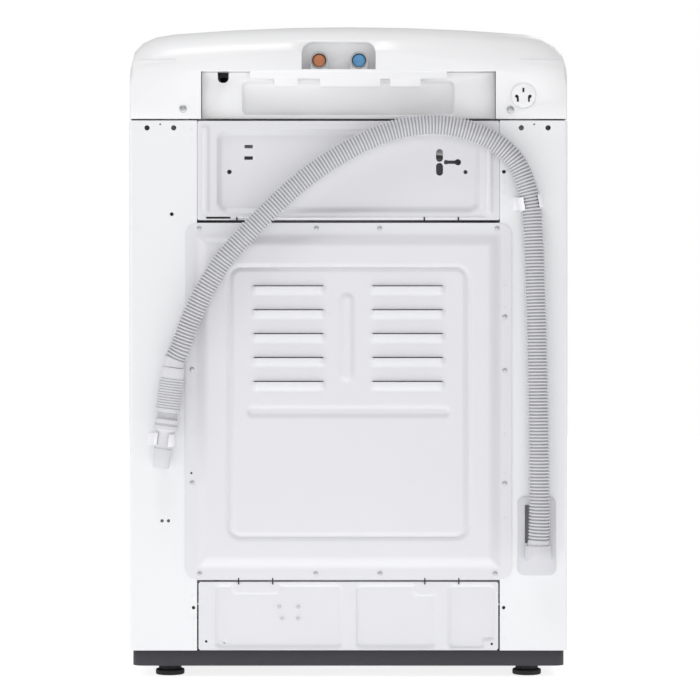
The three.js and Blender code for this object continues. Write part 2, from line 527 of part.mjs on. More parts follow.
function makeLid(outer) {
  const sunk = (down) => solid(geometryOf(outer).translate(0, 0, -down));
  const lidBody = outer.intersect(prism('z', lidOutline(0, lid.rearY), 700, 1100)).intersect(aboveDeck(lid.thick));
  const hollow = sunk(lid.wall).intersect(prism('z', roundedRect(-lid.halfX + lid.wall, lid.halfX - lid.wall,
    lid.frontY + lid.wall, lid.rearY - lid.wall, [lid.cornerR - lid.wall, lid.rearR / 2]), 700, 1100));
  const windowCut = prism('z', windowOutline(gap), 700, 1100);
  const lipRing = sunk(lidWindow.thick + gap).subtract(sunk(lidWindow.thick + gap + 3))
    .intersect(prism('z', windowOutline(lid.wall), 700, 1100))
    .subtract(prism('z', windowOutline(-lidWindow.lip), 700, 1100));
  const hoop = prism('z', windowOutline(lid.wall), 700, 1100).subtract(windowCut)
    .intersect(outer).subtract(sunk(lidWindow.thick + gap + 3));
  const ears = [-1, 1].map((side) => {
    const x = side * (lid.halfX - 8);
    return cylinder('x', hinge.y, hinge.z, hinge.r + 2.5, x - 7.9, x + 7.9, 16);
  });
  const bores = cylinder('x', hinge.y, hinge.z, hinge.r + gap, -hinge.to, hinge.to, 16);
  const frame = union(lidBody.subtract(hollow).subtract(windowCut), lipRing, hoop, ears);
  part('lid_frame', frame.subtract(bores), finish.whitePlastic);
  const glass = outer.intersect(prism('z', windowOutline(0), 700, 1100)).subtract(sunk(lidWindow.thick));
  part('lid_glass', glass, finish.glass);
  for (const [name, side] of [['left_hinge_pin', -1], ['right_hinge_pin', 1]]) {
    const [a, b] = [side * hinge.from, side * hinge.to];
    part(name, cylinder('x', hinge.y, hinge.z, hinge.r, Math.min(a, b), Math.max(a, b), 16), finish.zinc);
  }
}

// ---- rear of the cover -----------------------------------------------------------------------

function makeRearFittings() {
  const top = recess.top - gap;
  const face = recess.floorY;
  const plate = prism('y', roundedRect(-recess.halfX, recess.halfX, cover.bottom + 1, top, 1),
    face - recess.thick, face);
  const pan = pressing([-recess.panHalfX, recess.panHalfX, cover.bottom + 6, top - 12], 8, face,
    recess.panFloorY - face, 3, recess.thick);
  const notch = prism('y', roundedRect(173.1, 188.8, 858, top + 12, 7), face - 10, face + 10);
  part('recess_panel', press(plate, pan).subtract(notch), finish.whitePlastic);

  const disc = cylinder('y', plugRest.x, plugRest.z, plugRest.r, machine.rearY - plugRest.thick, machine.rearY + 1, 32);
  const cutSlot = (x, z, w, h) => block(x - w / 2, x + w / 2, machine.rearY - 9, machine.rearY + 9, z - h / 2, z + h / 2);
  const keyholes = [-1, 1].map((side) => [
    cylinder('y', plugRest.x + side * 9.5, plugRest.z - 1, 2.6, machine.rearY - 9, machine.rearY + 9, 12),
    cutSlot(plugRest.x + side * 8, plugRest.z - 5, 3, 8),
  ]);
  part('plug_holder', without(disc, cutSlot(plugRest.x, plugRest.z + 8, 3, 6.5), keyholes), finish.whitePlastic);

  for (const [name, x, look] of [['hot', inlet.hotX, finish.hot], ['cold', inlet.coldX, finish.cold]]) {
    const back = alcove.wallY - cover.wall - gap;
    const collar = cylinder('y', x, inlet.z, inlet.threadR, alcove.wallY + gap, inlet.tipY, 28);
    const neck = cylinder('y', x, inlet.z, 12, back - 10, alcove.wallY + 2, 24);
    const valve = block(x - 16, x + 16, back - 42, back, inlet.z - 17, inlet.z + 15);
    const spout = cylinder('z', x, back - 30, 7, inlet.z - 34, inlet.z - 10, 16);
    const spoutBore = cylinder('z', x, back - 30, 4.5, inlet.z - 35, inlet.z - 5, 16);
    const bore = cylinder('y', x, inlet.z, inlet.boreR, inlet.tipY - 20, inlet.tipY + 1, 24);
    part(`${name}_inlet_valve`, without(union(collar, neck, valve, spout), bore, spoutBore), finish.whitePlastic);
    const screenR = inlet.boreR - gap;
    part(`${name}_inlet_screen`, cylinder('y', x, inlet.z, screenR, inlet.tipY - 11, inlet.tipY - 7, 24), look);
  }
}

// ---- controls --------------------------------------------------------------------------------

function makeControls() {
  const group = new THREE.Group();
  group.applyMatrix4(panelPlace);
  machineGroup.add(group);
  const { panelHalfX: px, panelHalfY: py, thick } = backConsole;
  const holes = buttons.map(([, x, r]) => cylinder('z', x, 0, r + play, -20, 20, 16));
  const shaftHole = cylinder('z', dial.x, 0, dial.shaftR + play, -20, 20, 24);
  const screen = block(display.x0 - gap, display.x1 + gap, display.y0 - gap, display.y1 + gap, -display.thick - gap, 20);
  const plate = prism('z', roundedRect(-px, px, -py, py, 10), -thick, 0);
  part('control_panel', without(plate, holes, shaftHole, screen), finish.greyPlastic, group);
  const glass = prism('z', roundedRect(display.x0, display.x1, display.y0, display.y1, 2), -display.thick, 0);
  part('display_window', glass, finish.glass, group);
  for (const [name, x, r] of buttons) {
    const profile = [[0, -10], [r - 1, -10], [r, -9], [r, buttonRise - 0.8], [r - 0.8, buttonRise], [0, buttonRise]];
    part(name, turned(profile, 16, x, 0), finish.greyPlastic, group);
  }
  const { r, height, shaftR } = dial;
  const knob = [[0, -13], [shaftR, -13], [shaftR, 0.6], [r, 0.6], [r, 3], [r - 2.5, height - 2], [r - 4.5, height],
    [0, height]];
  part('program_dial', turned(knob, 28, dial.x, 0), finish.whitePlastic, group);
  part('control_board', block(20, 190, panelY - 22, panelY + 30, 858, 876), finish.black);
}

function makeDispenser() {
  const { left, right, bottom, top, depth, wall, frontY } = drawer;
  const [front, rear] = [mouth.rearY + cover.wall + gap, frontY + depth + 3];
  const [x0, x1, z0, z1] = [left - play, right + play, bottom - play, top + play];
  const outer = block(x0 - wall, x1 + wall, front, rear + wall, z0 - wall, z1 + wall);
  const rim = block(x0, x1, front - 1, rear, z0, z1);
  const inletHole = cylinder('z', (left + right) / 2, rear - 40, 12, z1 - 1, z1 + wall + 1, 16);
  const drain = cylinder('z', (left + right) / 2, front + 20, 10, z0 - wall - 1, z0 + 1, 16);
  part('dispenser_housing', without(outer, rim, inletHole, drain), finish.whitePlastic);
  const box = block(left, right, frontY, frontY + depth, bottom, top - 3);
  const split = (left + right) / 2 + 14;
  const wells = [
    block(left + wall, split - wall / 2, frontY + 8, frontY + depth - wall, bottom + wall, top + 1),
    block(split + wall / 2, right - wall, frontY + 8, frontY + depth - wall, bottom + wall, top + 1),
  ];
  const face = block(left, right, frontY, frontY + 8 - wall, bottom, top);
  const pull = block((left + right) / 2 - 28, (left + right) / 2 + 28, frontY - 1, frontY + 3, bottom + 6, bottom + 16);
  part('detergent_drawer', without(union(box, face), wells, pull), finish.greyPlastic);
}

// ---- tub, basket and drive -------------------------------------------------------------------

function tubLug([, x, y]) {
  const [dx, dy] = [x, y - tub.y];
  const reach = Math.hypot(dx, dy);
  const angle = Math.atan2(dy, dx);
  const root = tub.innerR + 1;
  const arm = new THREE.BoxGeometry(reach + 14 - root, 36, rod.lugThick);
  arm.translate((reach + 14 + root) / 2, 0, rod.lugZ + rod.lugThick / 2).rotateZ(angle).translate(0, tub.y, 0);
  return solid(arm).subtract(cylinder('z', x, y, rod.r + 5, rod.lugZ - 1, rod.lugZ + rod.lugThick + 1, 16));
}

function makeTub() {
  const outerR = tub.innerR + tub.wall;
  const hole = spin.housingR + 6;
  const shell = turned(closed([[hole, tub.bottom], [outerR - 12, tub.bottom], [outerR, tub.bottom + 12],
    [outerR, tub.top], [tub.innerR, tub.top], [tub.innerR, tub.bottom + 14],
    [tub.innerR - 10, tub.bottom + tub.wall], [hole, tub.bottom + tub.wall]]), 36, 0, tub.y);
  part('outer_tub', union(shell, rodPlaces.map(tubLug)), finish.greyPlastic);

  const seat = tub.top + gap;
  part('tub_cover', turned(closed([[outerR + 4, seat - 14], [outerR + 4, seat + 16], [outerR - 6, seat + 22],
    [tubMouthR, seat + 22], [tubMouthR, seat + 4], [tubMouthR + 4, seat + 4], [tubMouthR + 4, seat + 18],
    [outerR - 8, seat + 18], [outerR - 8, seat], [outerR + gap + 1, seat], [outerR + gap + 1, seat - 14]]),
  36, 0, tub.y), finish.whitePlastic);

  const under = tub.bottom - gap;
  part('bearing_housing', turned(closed([[spin.tubeR + gap, spin.bottom], [spin.housingR, spin.bottom],
    [spin.housingR, under - 16], [110, under - 10], [110, under], [spin.tubeR + gap, under]]), 36, 0, tub.y),
  finish.cast);
  const { statorR, statorInnerR, top, height } = motor;
  const ring = turned(closed([[statorInnerR, top - height], [statorR, top - height], [statorR, top - 8],
    [statorInnerR, top - 8]]), 36, 0, tub.y);
  part('stator', ring, finish.copper);

  for (const [place, x, y] of rodPlaces) {
    const lugZ = rod.lugZ - gap;
    const cup = closed([[rod.r + 1.5, lugZ - 5], [rod.cupR - 4, lugZ - 5], [rod.cupR - 4, rod.bottom - 20],
      [rod.cupR, rod.bottom - 20], [rod.cupR, lugZ - 3], [rod.cupR - 4, lugZ], [rod.r + 1.5, lugZ]]);
    part(`spring_cup_${place}`, turned(cup, 12, x, y), finish.black);
    const seatZ = cabinet.gussetZ + cabinet.gussetThick + gap;
    const profile = [[0, rod.bottom - 4], [14, rod.bottom - 4], [14, rod.bottom], [rod.r, rod.bottom],
      [rod.r, seatZ], [rod.headR, seatZ], [rod.headR - 2, seatZ + 8], [0, seatZ + 12]];
    part(`suspension_rod_${place}`, turned(profile, 10, x, y), finish.zinc);
  }
}

function makeBasket() {
  const { outerR, wall, bottom, top, ringHeight, ringR } = basket;
  const ringZ = top - ringHeight;
  part('wash_basket', turned(closed([[spin.shaftR + 6, bottom], [outerR - 14, bottom], [outerR, bottom + 14],
    [outerR, ringZ - gap], [outerR - wall, ringZ - gap], [outerR - wall, bottom + 15],
    [outerR - 15, bottom + wall], [spin.shaftR + 6, bottom + wall]]), 36, 0, tub.y), finish.stainless);
  part('balance_ring', turned(closed([[ringR + 3, ringZ], [outerR, ringZ], [outerR, top - 4], [outerR - 4, top],
    [ringR + 5, top], [ringR, top - 5], [ringR, ringZ + 5]]), 36, 0, tub.y), finish.greyPlastic);
  part('basket_hub', turned(closed([[spin.shaftR + gap, spin.bottom + 8], [spin.tubeR, spin.bottom + 8],
    [spin.tubeR, bottom - gap - 18], [60, bottom - gap - 10], [120, bottom - gap - 6], [120, bottom - gap],
    [spin.shaftR + gap, bottom - gap]]), 32, 0, tub.y), finish.cast);
  const inner = outerR - wall - gap;
  const shell = cylinder('z', 0, tub.y, inner, 470, 610, 36).subtract(cylinder('z', 0, tub.y, inner - 14, 469, 611, 36));
  const slice = block(-outerR - 5, -150, tub.y - 42, tub.y + 42, 480, 600);
  part('lint_filter', shell.intersect(slice), finish.whitePlastic);

  const { r, rim, hubR, hubTop, vanes } = pulse;
  const z = pulse.bottom;
  const dish = turned([[0, z], [r, z], [r, z + rim], [r - 6, z + rim + 2], [r * 0.6, z + 8], [hubR, z + 16],
    [hubR - 6, hubTop - 6], [hubR - 16, hubTop], [0, hubTop]], 36, 0, tub.y);
  const blades = [];
  for (let i = 0; i < vanes; i++) {
    const vane = prism('y', [[hubR - 8, z + 2], [r - 8, z + 2], [r - 8, z + 14], [r * 0.6, z + 24], [hubR - 8, z + 36]], -7, 7);
    const turn = new THREE.Matrix4().makeRotationZ(i * 2 * Math.PI / vanes).setPosition(0, tub.y, 0);
    blades.push(solid(geometryOf(vane).applyMatrix4(turn)));
  }
  const socket = cylinder('z', 0, tub.y, spin.shaftR + gap, z - 1, z + 24, 24);
  part('pulsator', without(union(dish, blades), socket), finish.greyPlastic);
  const rotorBase = motor.top - motor.height - motor.air - 6;
  part('drive_shaft', turned([[0, rotorBase - 14], [spin.shaftR, rotorBase - 14], [spin.shaftR, z + 22], [0, z + 22]],
    24, 0, tub.y), finish.zinc);
  const rotorInner = motor.statorR + motor.air;
  part('rotor', turned(closed([[spin.shaftR + gap, rotorBase], [rotorInner + motor.rotorWall, rotorBase],
    [rotorInner + motor.rotorWall, motor.top - 10], [rotorInner, motor.top - 10],
    [rotorInner, rotorBase + 3], [spin.shaftR + gap, rotorBase + 3]]), 40, 0, tub.y), finish.cast);
}

function makeDrainPump() {
  const x = -190;
  const y = machine.rearY - 90;
  const floorZ = base.z + base.wall + gap;
  const chamber = cylinder('z', x, y, 34, floorZ, 78, 28);
  const motorCan = cylinder('z', x, y, 24, 77, 120, 24);
  const outlet = cylinder('y', x, 60, 11, y, y + 60, 16);
  const bore = cylinder('y', x, 60, 8, y + 10, y + 61, 16);
  part('drain_pump', union(chamber, motorCan, outlet).subtract(bore), finish.black);
}

function makeFeet() {
  for (const [place, x, y] of footPlaces) {
    const gripTop = base.z - gap;
    const pad = turned([[0, 0], [foot.padR - 1, 0], [foot.padR, 2], [foot.padR, foot.padHeight - 1],
      [foot.padR - 2, foot.padHeight], [foot.gripR, foot.padHeight], [foot.gripR, gripTop], [0, gripTop]], 14, x, y);
    const bore = cylinder('z', x, y, foot.stemR + gap, foot.padHeight / 2, gripTop + 1, 10);
    part(`foot_pad_${place}`, pad.subtract(bore), finish.black);
    part(`foot_stem_${place}`, cylinder('z', x, y, foot.stemR, foot.padHeight / 2 + gap, foot.stemTop, 10), finish.zinc);
  }
}

const coverOuter = coverSolid(0, cover.bottom);
makeBase();
makeCabinetShell();
makeBackPanels();
makeHoseOutlet();
makeHose();
makeTopCover(coverOuter);
makeLid(coverOuter);
makeRearFittings();
makeControls();
makeDispenser();
makeTub();
makeBasket();
makeDrainPump();
makeFeet();

export default machineGroup;
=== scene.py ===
"""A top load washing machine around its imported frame: finishes, detailed pieces, hose and studio."""

import json
import math

import bmesh
import bpy
import numpy as np
from mathutils import Matrix, Vector


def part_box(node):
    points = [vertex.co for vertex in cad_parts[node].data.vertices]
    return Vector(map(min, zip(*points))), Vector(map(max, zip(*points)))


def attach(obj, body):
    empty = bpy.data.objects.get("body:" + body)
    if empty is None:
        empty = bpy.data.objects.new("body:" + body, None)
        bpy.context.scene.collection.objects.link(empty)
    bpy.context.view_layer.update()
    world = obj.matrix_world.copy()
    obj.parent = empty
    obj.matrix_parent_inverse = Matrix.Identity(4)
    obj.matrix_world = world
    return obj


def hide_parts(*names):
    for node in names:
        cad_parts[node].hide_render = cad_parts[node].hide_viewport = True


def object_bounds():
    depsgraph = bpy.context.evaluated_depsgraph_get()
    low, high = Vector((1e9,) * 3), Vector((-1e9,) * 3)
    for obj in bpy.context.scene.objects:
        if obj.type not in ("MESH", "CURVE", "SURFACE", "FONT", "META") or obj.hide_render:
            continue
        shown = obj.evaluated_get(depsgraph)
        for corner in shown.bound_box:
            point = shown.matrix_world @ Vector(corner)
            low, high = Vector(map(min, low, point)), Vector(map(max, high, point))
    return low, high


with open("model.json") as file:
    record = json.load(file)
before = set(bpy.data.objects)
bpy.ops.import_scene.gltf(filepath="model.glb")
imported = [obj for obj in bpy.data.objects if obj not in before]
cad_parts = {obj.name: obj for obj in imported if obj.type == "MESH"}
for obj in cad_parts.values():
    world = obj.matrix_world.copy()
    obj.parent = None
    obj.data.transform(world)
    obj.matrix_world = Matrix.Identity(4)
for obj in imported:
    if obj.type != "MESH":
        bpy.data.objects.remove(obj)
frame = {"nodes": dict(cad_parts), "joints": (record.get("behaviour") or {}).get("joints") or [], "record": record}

CAD_BOX = [list(corner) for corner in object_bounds()]

bl_info = {
    "name": "Top Load Washing Machine",
    "version": (1, 0, 0),
    "blender": (4, 5, 0),
    "location": "3D View > Sidebar > Washer",
    "description": "Builds the visible pieces of a top load washing machine around its frame",
    "category": "Object",
}

MM = 0.001
HOLE_SIDES = 20
SHARP = 35.0  # degrees, past which an edge is kept sharp
NODES = frame["nodes"]
BODY_OF = {n: body for body, names in frame["record"]["behaviour"]["bodies"].items() for n in names}
SLOT_OF = {s["node"]: s["material_slot"] for s in frame["record"]["subparts"]}


# ---- shader expressions ------------------------------------------------------------------------

class Sock:
    """A shader socket that can be used in arithmetic."""

    def __init__(self, shader, socket):
        self.shader, self.socket = shader, socket

    def _math(self, operation, *values):
        return self.shader.node("ShaderNodeMath", {"operation": operation}, *values)

    def __add__(self, other):
        return self._math("ADD", self, other)

    def __radd__(self, other):
        return self._math("ADD", other, self)

    def __sub__(self, other):
        return self._math("SUBTRACT", self, other)

    def __rsub__(self, other):
        return self._math("SUBTRACT", other, self)

    def __mul__(self, other):
        return self._math("MULTIPLY", self, other)

    def __rmul__(self, other):
        return self._math("MULTIPLY", other, self)

    def __pow__(self, other):
        return self._math("POWER", self, other)

    def ramp(self, low, high):
        """Where this lies between low and high, from 0 to 1."""
        return self.shader.node("ShaderNodeMapRange", {"clamp": True}, self, low, high, 0.0, 1.0)


class Shader:
    """A material's node tree, built from expressions."""

    def __init__(self, name):
        self.material = bpy.data.materials.new(name)
        self.material.use_nodes = True
        self.tree = self.material.node_tree
        self.tree.nodes.clear()
        self.out = self.tree.nodes.new("ShaderNodeOutputMaterial")
        self.bsdf = self.tree.nodes.new("ShaderNodeBsdfPrincipled")
        self.tree.links.new(self.bsdf.outputs[0], self.out.inputs["Surface"])

    def feed(self, socket, value):
        if isinstance(value, Sock):
            self.tree.links.new(value.socket, socket)
        elif value is not None:
            socket.default_value = value

    def node(self, kind, settings=None, *values, output=0, **named):
        made = self.tree.nodes.new(kind)
        for key, value in (settings or {}).items():
            setattr(made, key, value)
        for socket, value in zip(made.inputs, values):
            self.feed(socket, value)
        for key, value in named.items():
            self.feed(made.inputs[key.replace("_", " ")], value)
        return Sock(self, made.outputs[output])

    def coords(self, scale=(1, 1, 1)):
        place = self.node("ShaderNodeTexCoord", output=3)
        return self.node("ShaderNodeMapping", None, Vector=place, Scale=scale)

    def noise(self, scale, detail=3.0, stretch=(1, 1, 1), roughness=0.5):
        return self.node("ShaderNodeTexNoise", None, Vector=self.coords(stretch), Scale=scale,
                         Detail=detail, Roughness=roughness)

    def attribute(self, name):
        return self.node("ShaderNodeAttribute", {"attribute_name": name}, output=2)

    def mix(self, factor, low, high):
        made = self.tree.nodes.new("ShaderNodeMix")
        made.data_type = "RGBA"
        for socket, value in ((made.inputs[0], factor), (made.inputs[6], low), (made.inputs[7], high)):
            self.feed(socket, value)
        return Sock(self, made.outputs[2])

    def bump(self, height, strength, distance):
        return self.node("ShaderNodeBump", None, Strength=strength, Distance=distance, Height=height)

    def surface(self, **named):
        for key, value in named.items():
            self.feed(self.bsdf.inputs[key.replace("_", " ")], value)
        return self.material


def shade(color, factor):
    return (*[min(1.0, c * factor) for c in color[:3]], 1.0)


def moulded_plastic(name, color, roughness, grain=900.0, depth=0.00004, coat=0.0):
    """Injection-moulded plastic: a fine spark-eroded grain over a slow drift in tone and gloss."""
    s = Shader(name)
    drift = s.noise(7.0, 2.0).ramp(0.3, 0.7)
    fine = s.noise(grain, 2.0)
    s.surface(
        Base_Color=s.mix(drift, shade(color, 0.965), shade(color, 1.0)),
        Roughness=roughness - 0.05 + drift * 0.06 + fine * 0.05,
        Normal=s.bump(fine, 0.35, depth),
        Coat_Weight=coat, Coat_Roughness=0.12,
    )
    return s.material


def enamelled_steel(name, color, roughness):
    """Baked enamel on sheet steel: orange peel, faint waviness of the sheet and a thin clear gloss."""
    s = Shader(name)
    wave = s.noise(5.0, 2.0)
    peel = s.noise(420.0, 2.0)
    tone = s.noise(3.0, 3.0).ramp(0.3, 0.7)
    height = wave * 0.6 + peel * 0.05
    s.surface(
        Base_Color=s.mix(tone, shade(color, 0.97), shade(color, 1.0)),
        Roughness=roughness - 0.03 + peel * 0.06,
        Normal=s.bump(height, 0.25, 0.0004),
        Coat_Weight=0.25, Coat_Roughness=0.08,
    )
    return s.material


def brushed_metal(name, color, roughness, stretch=(1, 1, 40), grain=160.0):
    """Bare metal with drawn or brushed lines, duller where it has been handled."""
    s = Shader(name)
    lines = s.noise(grain, 3.0, stretch)
    cloud = s.noise(14.0, 3.0).ramp(0.35, 0.75)
    s.surface(
        Base_Color=s.mix(cloud, shade(color, 0.88), shade(color, 1.0)),
        Metallic=1.0,
        Roughness=roughness - 0.06 + lines * 0.12 + cloud * 0.06,
        Normal=s.bump(lines, 0.2, 0.00005),
    )
    return s.material


def black_rubber(name, color):
    """Moulded rubber: matt, slightly mottled and dusty on top."""
    s = Shader(name)
    mottle = s.noise(60.0, 4.0)
    dust = s.noise(18.0, 3.0).ramp(0.5, 0.8)
    s.surface(
        Base_Color=s.mix(dust * 0.35, (*color, 1.0), (0.09, 0.09, 0.09, 1.0)),
        Roughness=0.62 + mottle * 0.18,
        Normal=s.bump(mottle, 0.3, 0.0002),
    )
    return s.material


def hose_plastic(name, color, groove_shade_color):
    """Corrugated hose: painted shade in its grooves, patchy in strength, its crests rubbed smooth."""
    s = Shader(name)
    groove = s.attribute("groove")
    groove_shade_patchiness = s.noise(90.0, 3.0).ramp(0.35, 0.75)
    worn = s.noise(22.0, 2.0)
    # Painted shade: the hose darkens towards a darker grey in its grooves, more strongly in random patches.
    depth = groove * (0.8 + groove_shade_patchiness * 0.2)
    s.surface(
        Base_Color=s.mix(depth, s.mix(worn, shade(color, 0.95), shade(color, 1.0)), (*groove_shade_color, 1.0)),
        Roughness=0.36 + groove * 0.25 + worn * 0.06,
        Normal=s.bump(s.noise(700.0, 2.0), 0.2, 0.00004),
    )
    return s.material


def tinted_glass(name, color, alpha):
    """Smoked safety glass, faintly smeared."""
    s = Shader(name)
    smear = s.noise(12.0, 4.0, (1, 3, 1)).ramp(0.45, 0.8)
    s.surface(
        Base_Color=s.mix(smear * 0.3, (*color, 1.0), shade(color, 1.8)),
        Roughness=0.04 + smear * 0.07,
        Alpha=alpha + smear * 0.04,
        Coat_Weight=0.6, Coat_Roughness=0.03,
    )
    return s.material


def wound_copper(name, color):
    """Lacquered copper wire, wound close."""
    s = Shader(name)
    turns = s.noise(300.0, 2.0, (1, 1, 8))
    s.surface(
        Base_Color=s.mix(turns.ramp(0.35, 0.65), shade(color, 0.5), shade(color, 1.1)),
        Metallic=0.8, Roughness=0.32 + turns * 0.15,
        Normal=s.bump(turns, 0.6, 0.0003),
    )
    return s.material


def lamp_display(name):
    """A dark display behind its window, with rows of faint dots."""
    s = Shader(name)
    dots = s.node("ShaderNodeTexVoronoi", {"feature": "F1"}, Vector=s.coords((1, 1, 1)), Scale=260.0)
    mark = 1.0 - dots.ramp(0.2, 0.32)
    s.surface(
        Base_Color=s.mix(mark * 0.25, (0.008, 0.01, 0.014, 1.0), (0.10, 0.13, 0.16, 1.0)),
        Roughness=0.08 + mark * 0.1, Coat_Weight=0.6, Coat_Roughness=0.03,
    )
    return s.material


FINISHES = {
    "white_enamel": lambda: enamelled_steel("white_enamel", (0.88, 0.885, 0.90), 0.34),
    "back_sheet": lambda: enamelled_steel("back_sheet", (0.78, 0.78, 0.81), 0.33),
    "white_plastic": lambda: moulded_plastic("white_plastic", (0.93, 0.93, 0.94), 0.34, coat=0.15),
    "grey_plastic": lambda: moulded_plastic("grey_plastic", (0.36, 0.365, 0.38), 0.42),
    "light_grey_plastic": lambda: moulded_plastic("light_grey_plastic", (0.68, 0.68, 0.71), 0.42),
    "charcoal_plastic": lambda: moulded_plastic("charcoal_plastic", (0.031, 0.030, 0.038), 0.55, 700.0),
    "black_plastic": lambda: moulded_plastic("black_plastic", (0.018, 0.018, 0.02), 0.5, 700.0),
    "orange_plastic": lambda: moulded_plastic("orange_plastic", (0.60, 0.21, 0.07), 0.3, coat=0.3),
    "blue_plastic": lambda: moulded_plastic("blue_plastic", (0.10, 0.36, 0.66), 0.3, coat=0.3),
    "zinc": lambda: brushed_metal("zinc", (0.62, 0.63, 0.64), 0.36, (1, 1, 6)),
    "cast_alloy": lambda: brushed_metal("cast_alloy", (0.5, 0.5, 0.52), 0.5, (1, 1, 1), 90.0),
    "stainless": lambda: brushed_metal("stainless", (0.68, 0.69, 0.70), 0.26),
    "copper_winding": lambda: wound_copper("copper_winding", (0.62, 0.27, 0.11)),
    "black_rubber": lambda: black_rubber("black_rubber", (0.010, 0.010, 0.011)),
    "hose_plastic": lambda: hose_plastic("hose_plastic", (0.70, 0.70, 0.73), (0.36, 0.36, 0.385)),
    "dark_glass": lambda: tinted_glass("dark_glass", (0.10, 0.115, 0.13), 0.62),
    "display": lambda: lamp_display("display"),
}
_made = {}


def finish(name):
    if name not in _made:
        _made[name] = FINISHES[name]()
    return _made[name]


# ---- mesh helpers ------------------------------------------------------------------------------

def in_metres(rows):
    """Rows of millimetres, as tuples of metres."""
    return [tuple(value * MM for value in row) for row in rows]


def polar(radius, angle, height):
    return (radius * math.cos(angle), radius * math.sin(angle), height)


def new_piece(name, vertices, faces, angle=SHARP):
    """A mesh object at the origin, with doubles merged, faces outwards and shading split at sharp edges."""
    mesh = bpy.data.meshes.new(name)
    mesh.from_pydata([tuple(v) for v in vertices], [], faces)
    obj = bpy.data.objects.new(name, mesh)
    bpy.context.scene.collection.objects.link(obj)
    tidy_mesh(obj, angle)
    return obj


def tidy_mesh(obj, angle=SHARP):
    bm = bmesh.new()
    bm.from_mesh(obj.data)
    bmesh.ops.remove_doubles(bm, verts=bm.verts, dist=1e-6)
    bmesh.ops.recalc_face_normals(bm, faces=bm.faces)
    bm.to_mesh(obj.data)
    bm.free()
    smooth_by_angle(obj, angle)


def smooth_by_angle(obj, angle=SHARP):
    """Smooth shading, with the edges over this angle kept sharp."""
    obj.data.shade_smooth()
    bm = bmesh.new()
    bm.from_mesh(obj.data)
    limit = math.radians(angle)
    for edge in bm.edges:
        edge.smooth = len(edge.link_faces) == 2 and edge.calc_face_angle(0.0) < limit
    bm.to_mesh(obj.data)
    bm.free()


def apply_modifiers(obj):
    """The object's mesh with its modifiers in it, and no modifier left."""
    depsgraph = bpy.context.evaluated_depsgraph_get()
    mesh = bpy.data.meshes.new_from_object(obj.evaluated_get(depsgraph))
    obj.modifiers.clear()
    obj.data = mesh


def give(obj, body, slot, *nodes, look=None):
    """Finishes a piece: its material, named by its slot or look, its body and the nodes it stands for."""
    obj.data.materials.clear()
    obj.data.materials.append(finish(look or slot))
    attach(obj, body)
    if nodes:
        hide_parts(*nodes)
    return obj


def refined(node, bevel=0.0006, segments=2, angle=SHARP, look=None):
    """A CAD node's shape with its flat faces joined and its edges rounded, standing for that node."""
    source = NODES[node]
    obj = bpy.data.objects.new(node + "_finished", source.data.copy())
    bpy.context.scene.collection.objects.link(obj)
    bm = bmesh.new()
    bm.from_mesh(obj.data)
    bmesh.ops.remove_doubles(bm, verts=bm.verts, dist=1e-6)
    bmesh.ops.dissolve_limit(bm, angle_limit=math.radians(0.6), verts=bm.verts, edges=bm.edges)
    bm.to_mesh(obj.data)
    bm.free()
    if bevel:
        rounding = obj.modifiers.new("rounding", "BEVEL")
        rounding.width = bevel
        rounding.segments = segments
        rounding.limit_method = "ANGLE"
        rounding.angle_limit = math.radians(angle)
        rounding.use_clamp_overlap = True
        apply_modifiers(obj)
    smooth_by_angle(obj, 32.0)
    return give(obj, BODY_OF[node], SLOT_OF[node], node, look=look)


def turned(name, profile, centre, along=(0, 0, 1), sides=96, angle=30.0, wave=None):
    """A profile of (radius, height) points in metres turned about an axis through centre."""
    along = Vector(along).normalized()
    turn = Vector((0, 0, 1)).rotation_difference(along).to_matrix()
    centre = Vector(centre)
    vertices, faces = [], []
    rows = len(profile)
    for i in range(sides):
        a = math.tau * i / sides
        for r, z in profile:
            radius = r * (wave(a, r, z) if wave else 1.0)
            vertices.append(centre + turn @ Vector((radius * math.cos(a), radius * math.sin(a), z)))
    shut = profile[0] == profile[-1]
    for i in range(sides):
        j = (i + 1) % sides
        for k in range(rows - 1):
            faces.append((i * rows + k, j * rows + k, j * rows + k + 1, i * rows + k + 1))
    if not shut:
        for end in (0, rows - 1):
            if profile[end][0] > 1e-7:
                faces.append([i * rows + end for i in range(sides)])
    return new_piece(name, vertices, [tuple(f) for f in faces], angle)


def box_mesh(low, high):
    """The corners and faces of a box."""
    (x0, y0, z0), (x1, y1, z1) = low, high
    corners = [Vector((x, y, z)) for x in (x0, x1) for y in (y0, y1) for z in (z0, z1)]
    sides = [(0, 1, 3, 2), (4, 6, 7, 5), (0, 4, 5, 1), (2, 3, 7, 6), (0, 2, 6, 4), (1, 5, 7, 3)]
    return corners, sides


def boxes(name, spans, bevel=0.0005):
    """One piece of several rounded boxes, each given by its low and high corner in metres."""
    vertices, faces = [], []
    for low, high in spans:
        corners, sides = box_mesh(low, high)
        faces += [tuple(len(vertices) + i for i in side) for side in sides]
        vertices += corners
    obj = new_piece(name, vertices, faces)
    rounding = obj.modifiers.new("rounding", "BEVEL")
    rounding.width = bevel
    rounding.segments = 3
    apply_modifiers(obj)
    smooth_by_angle(obj, 40.0)
    return obj


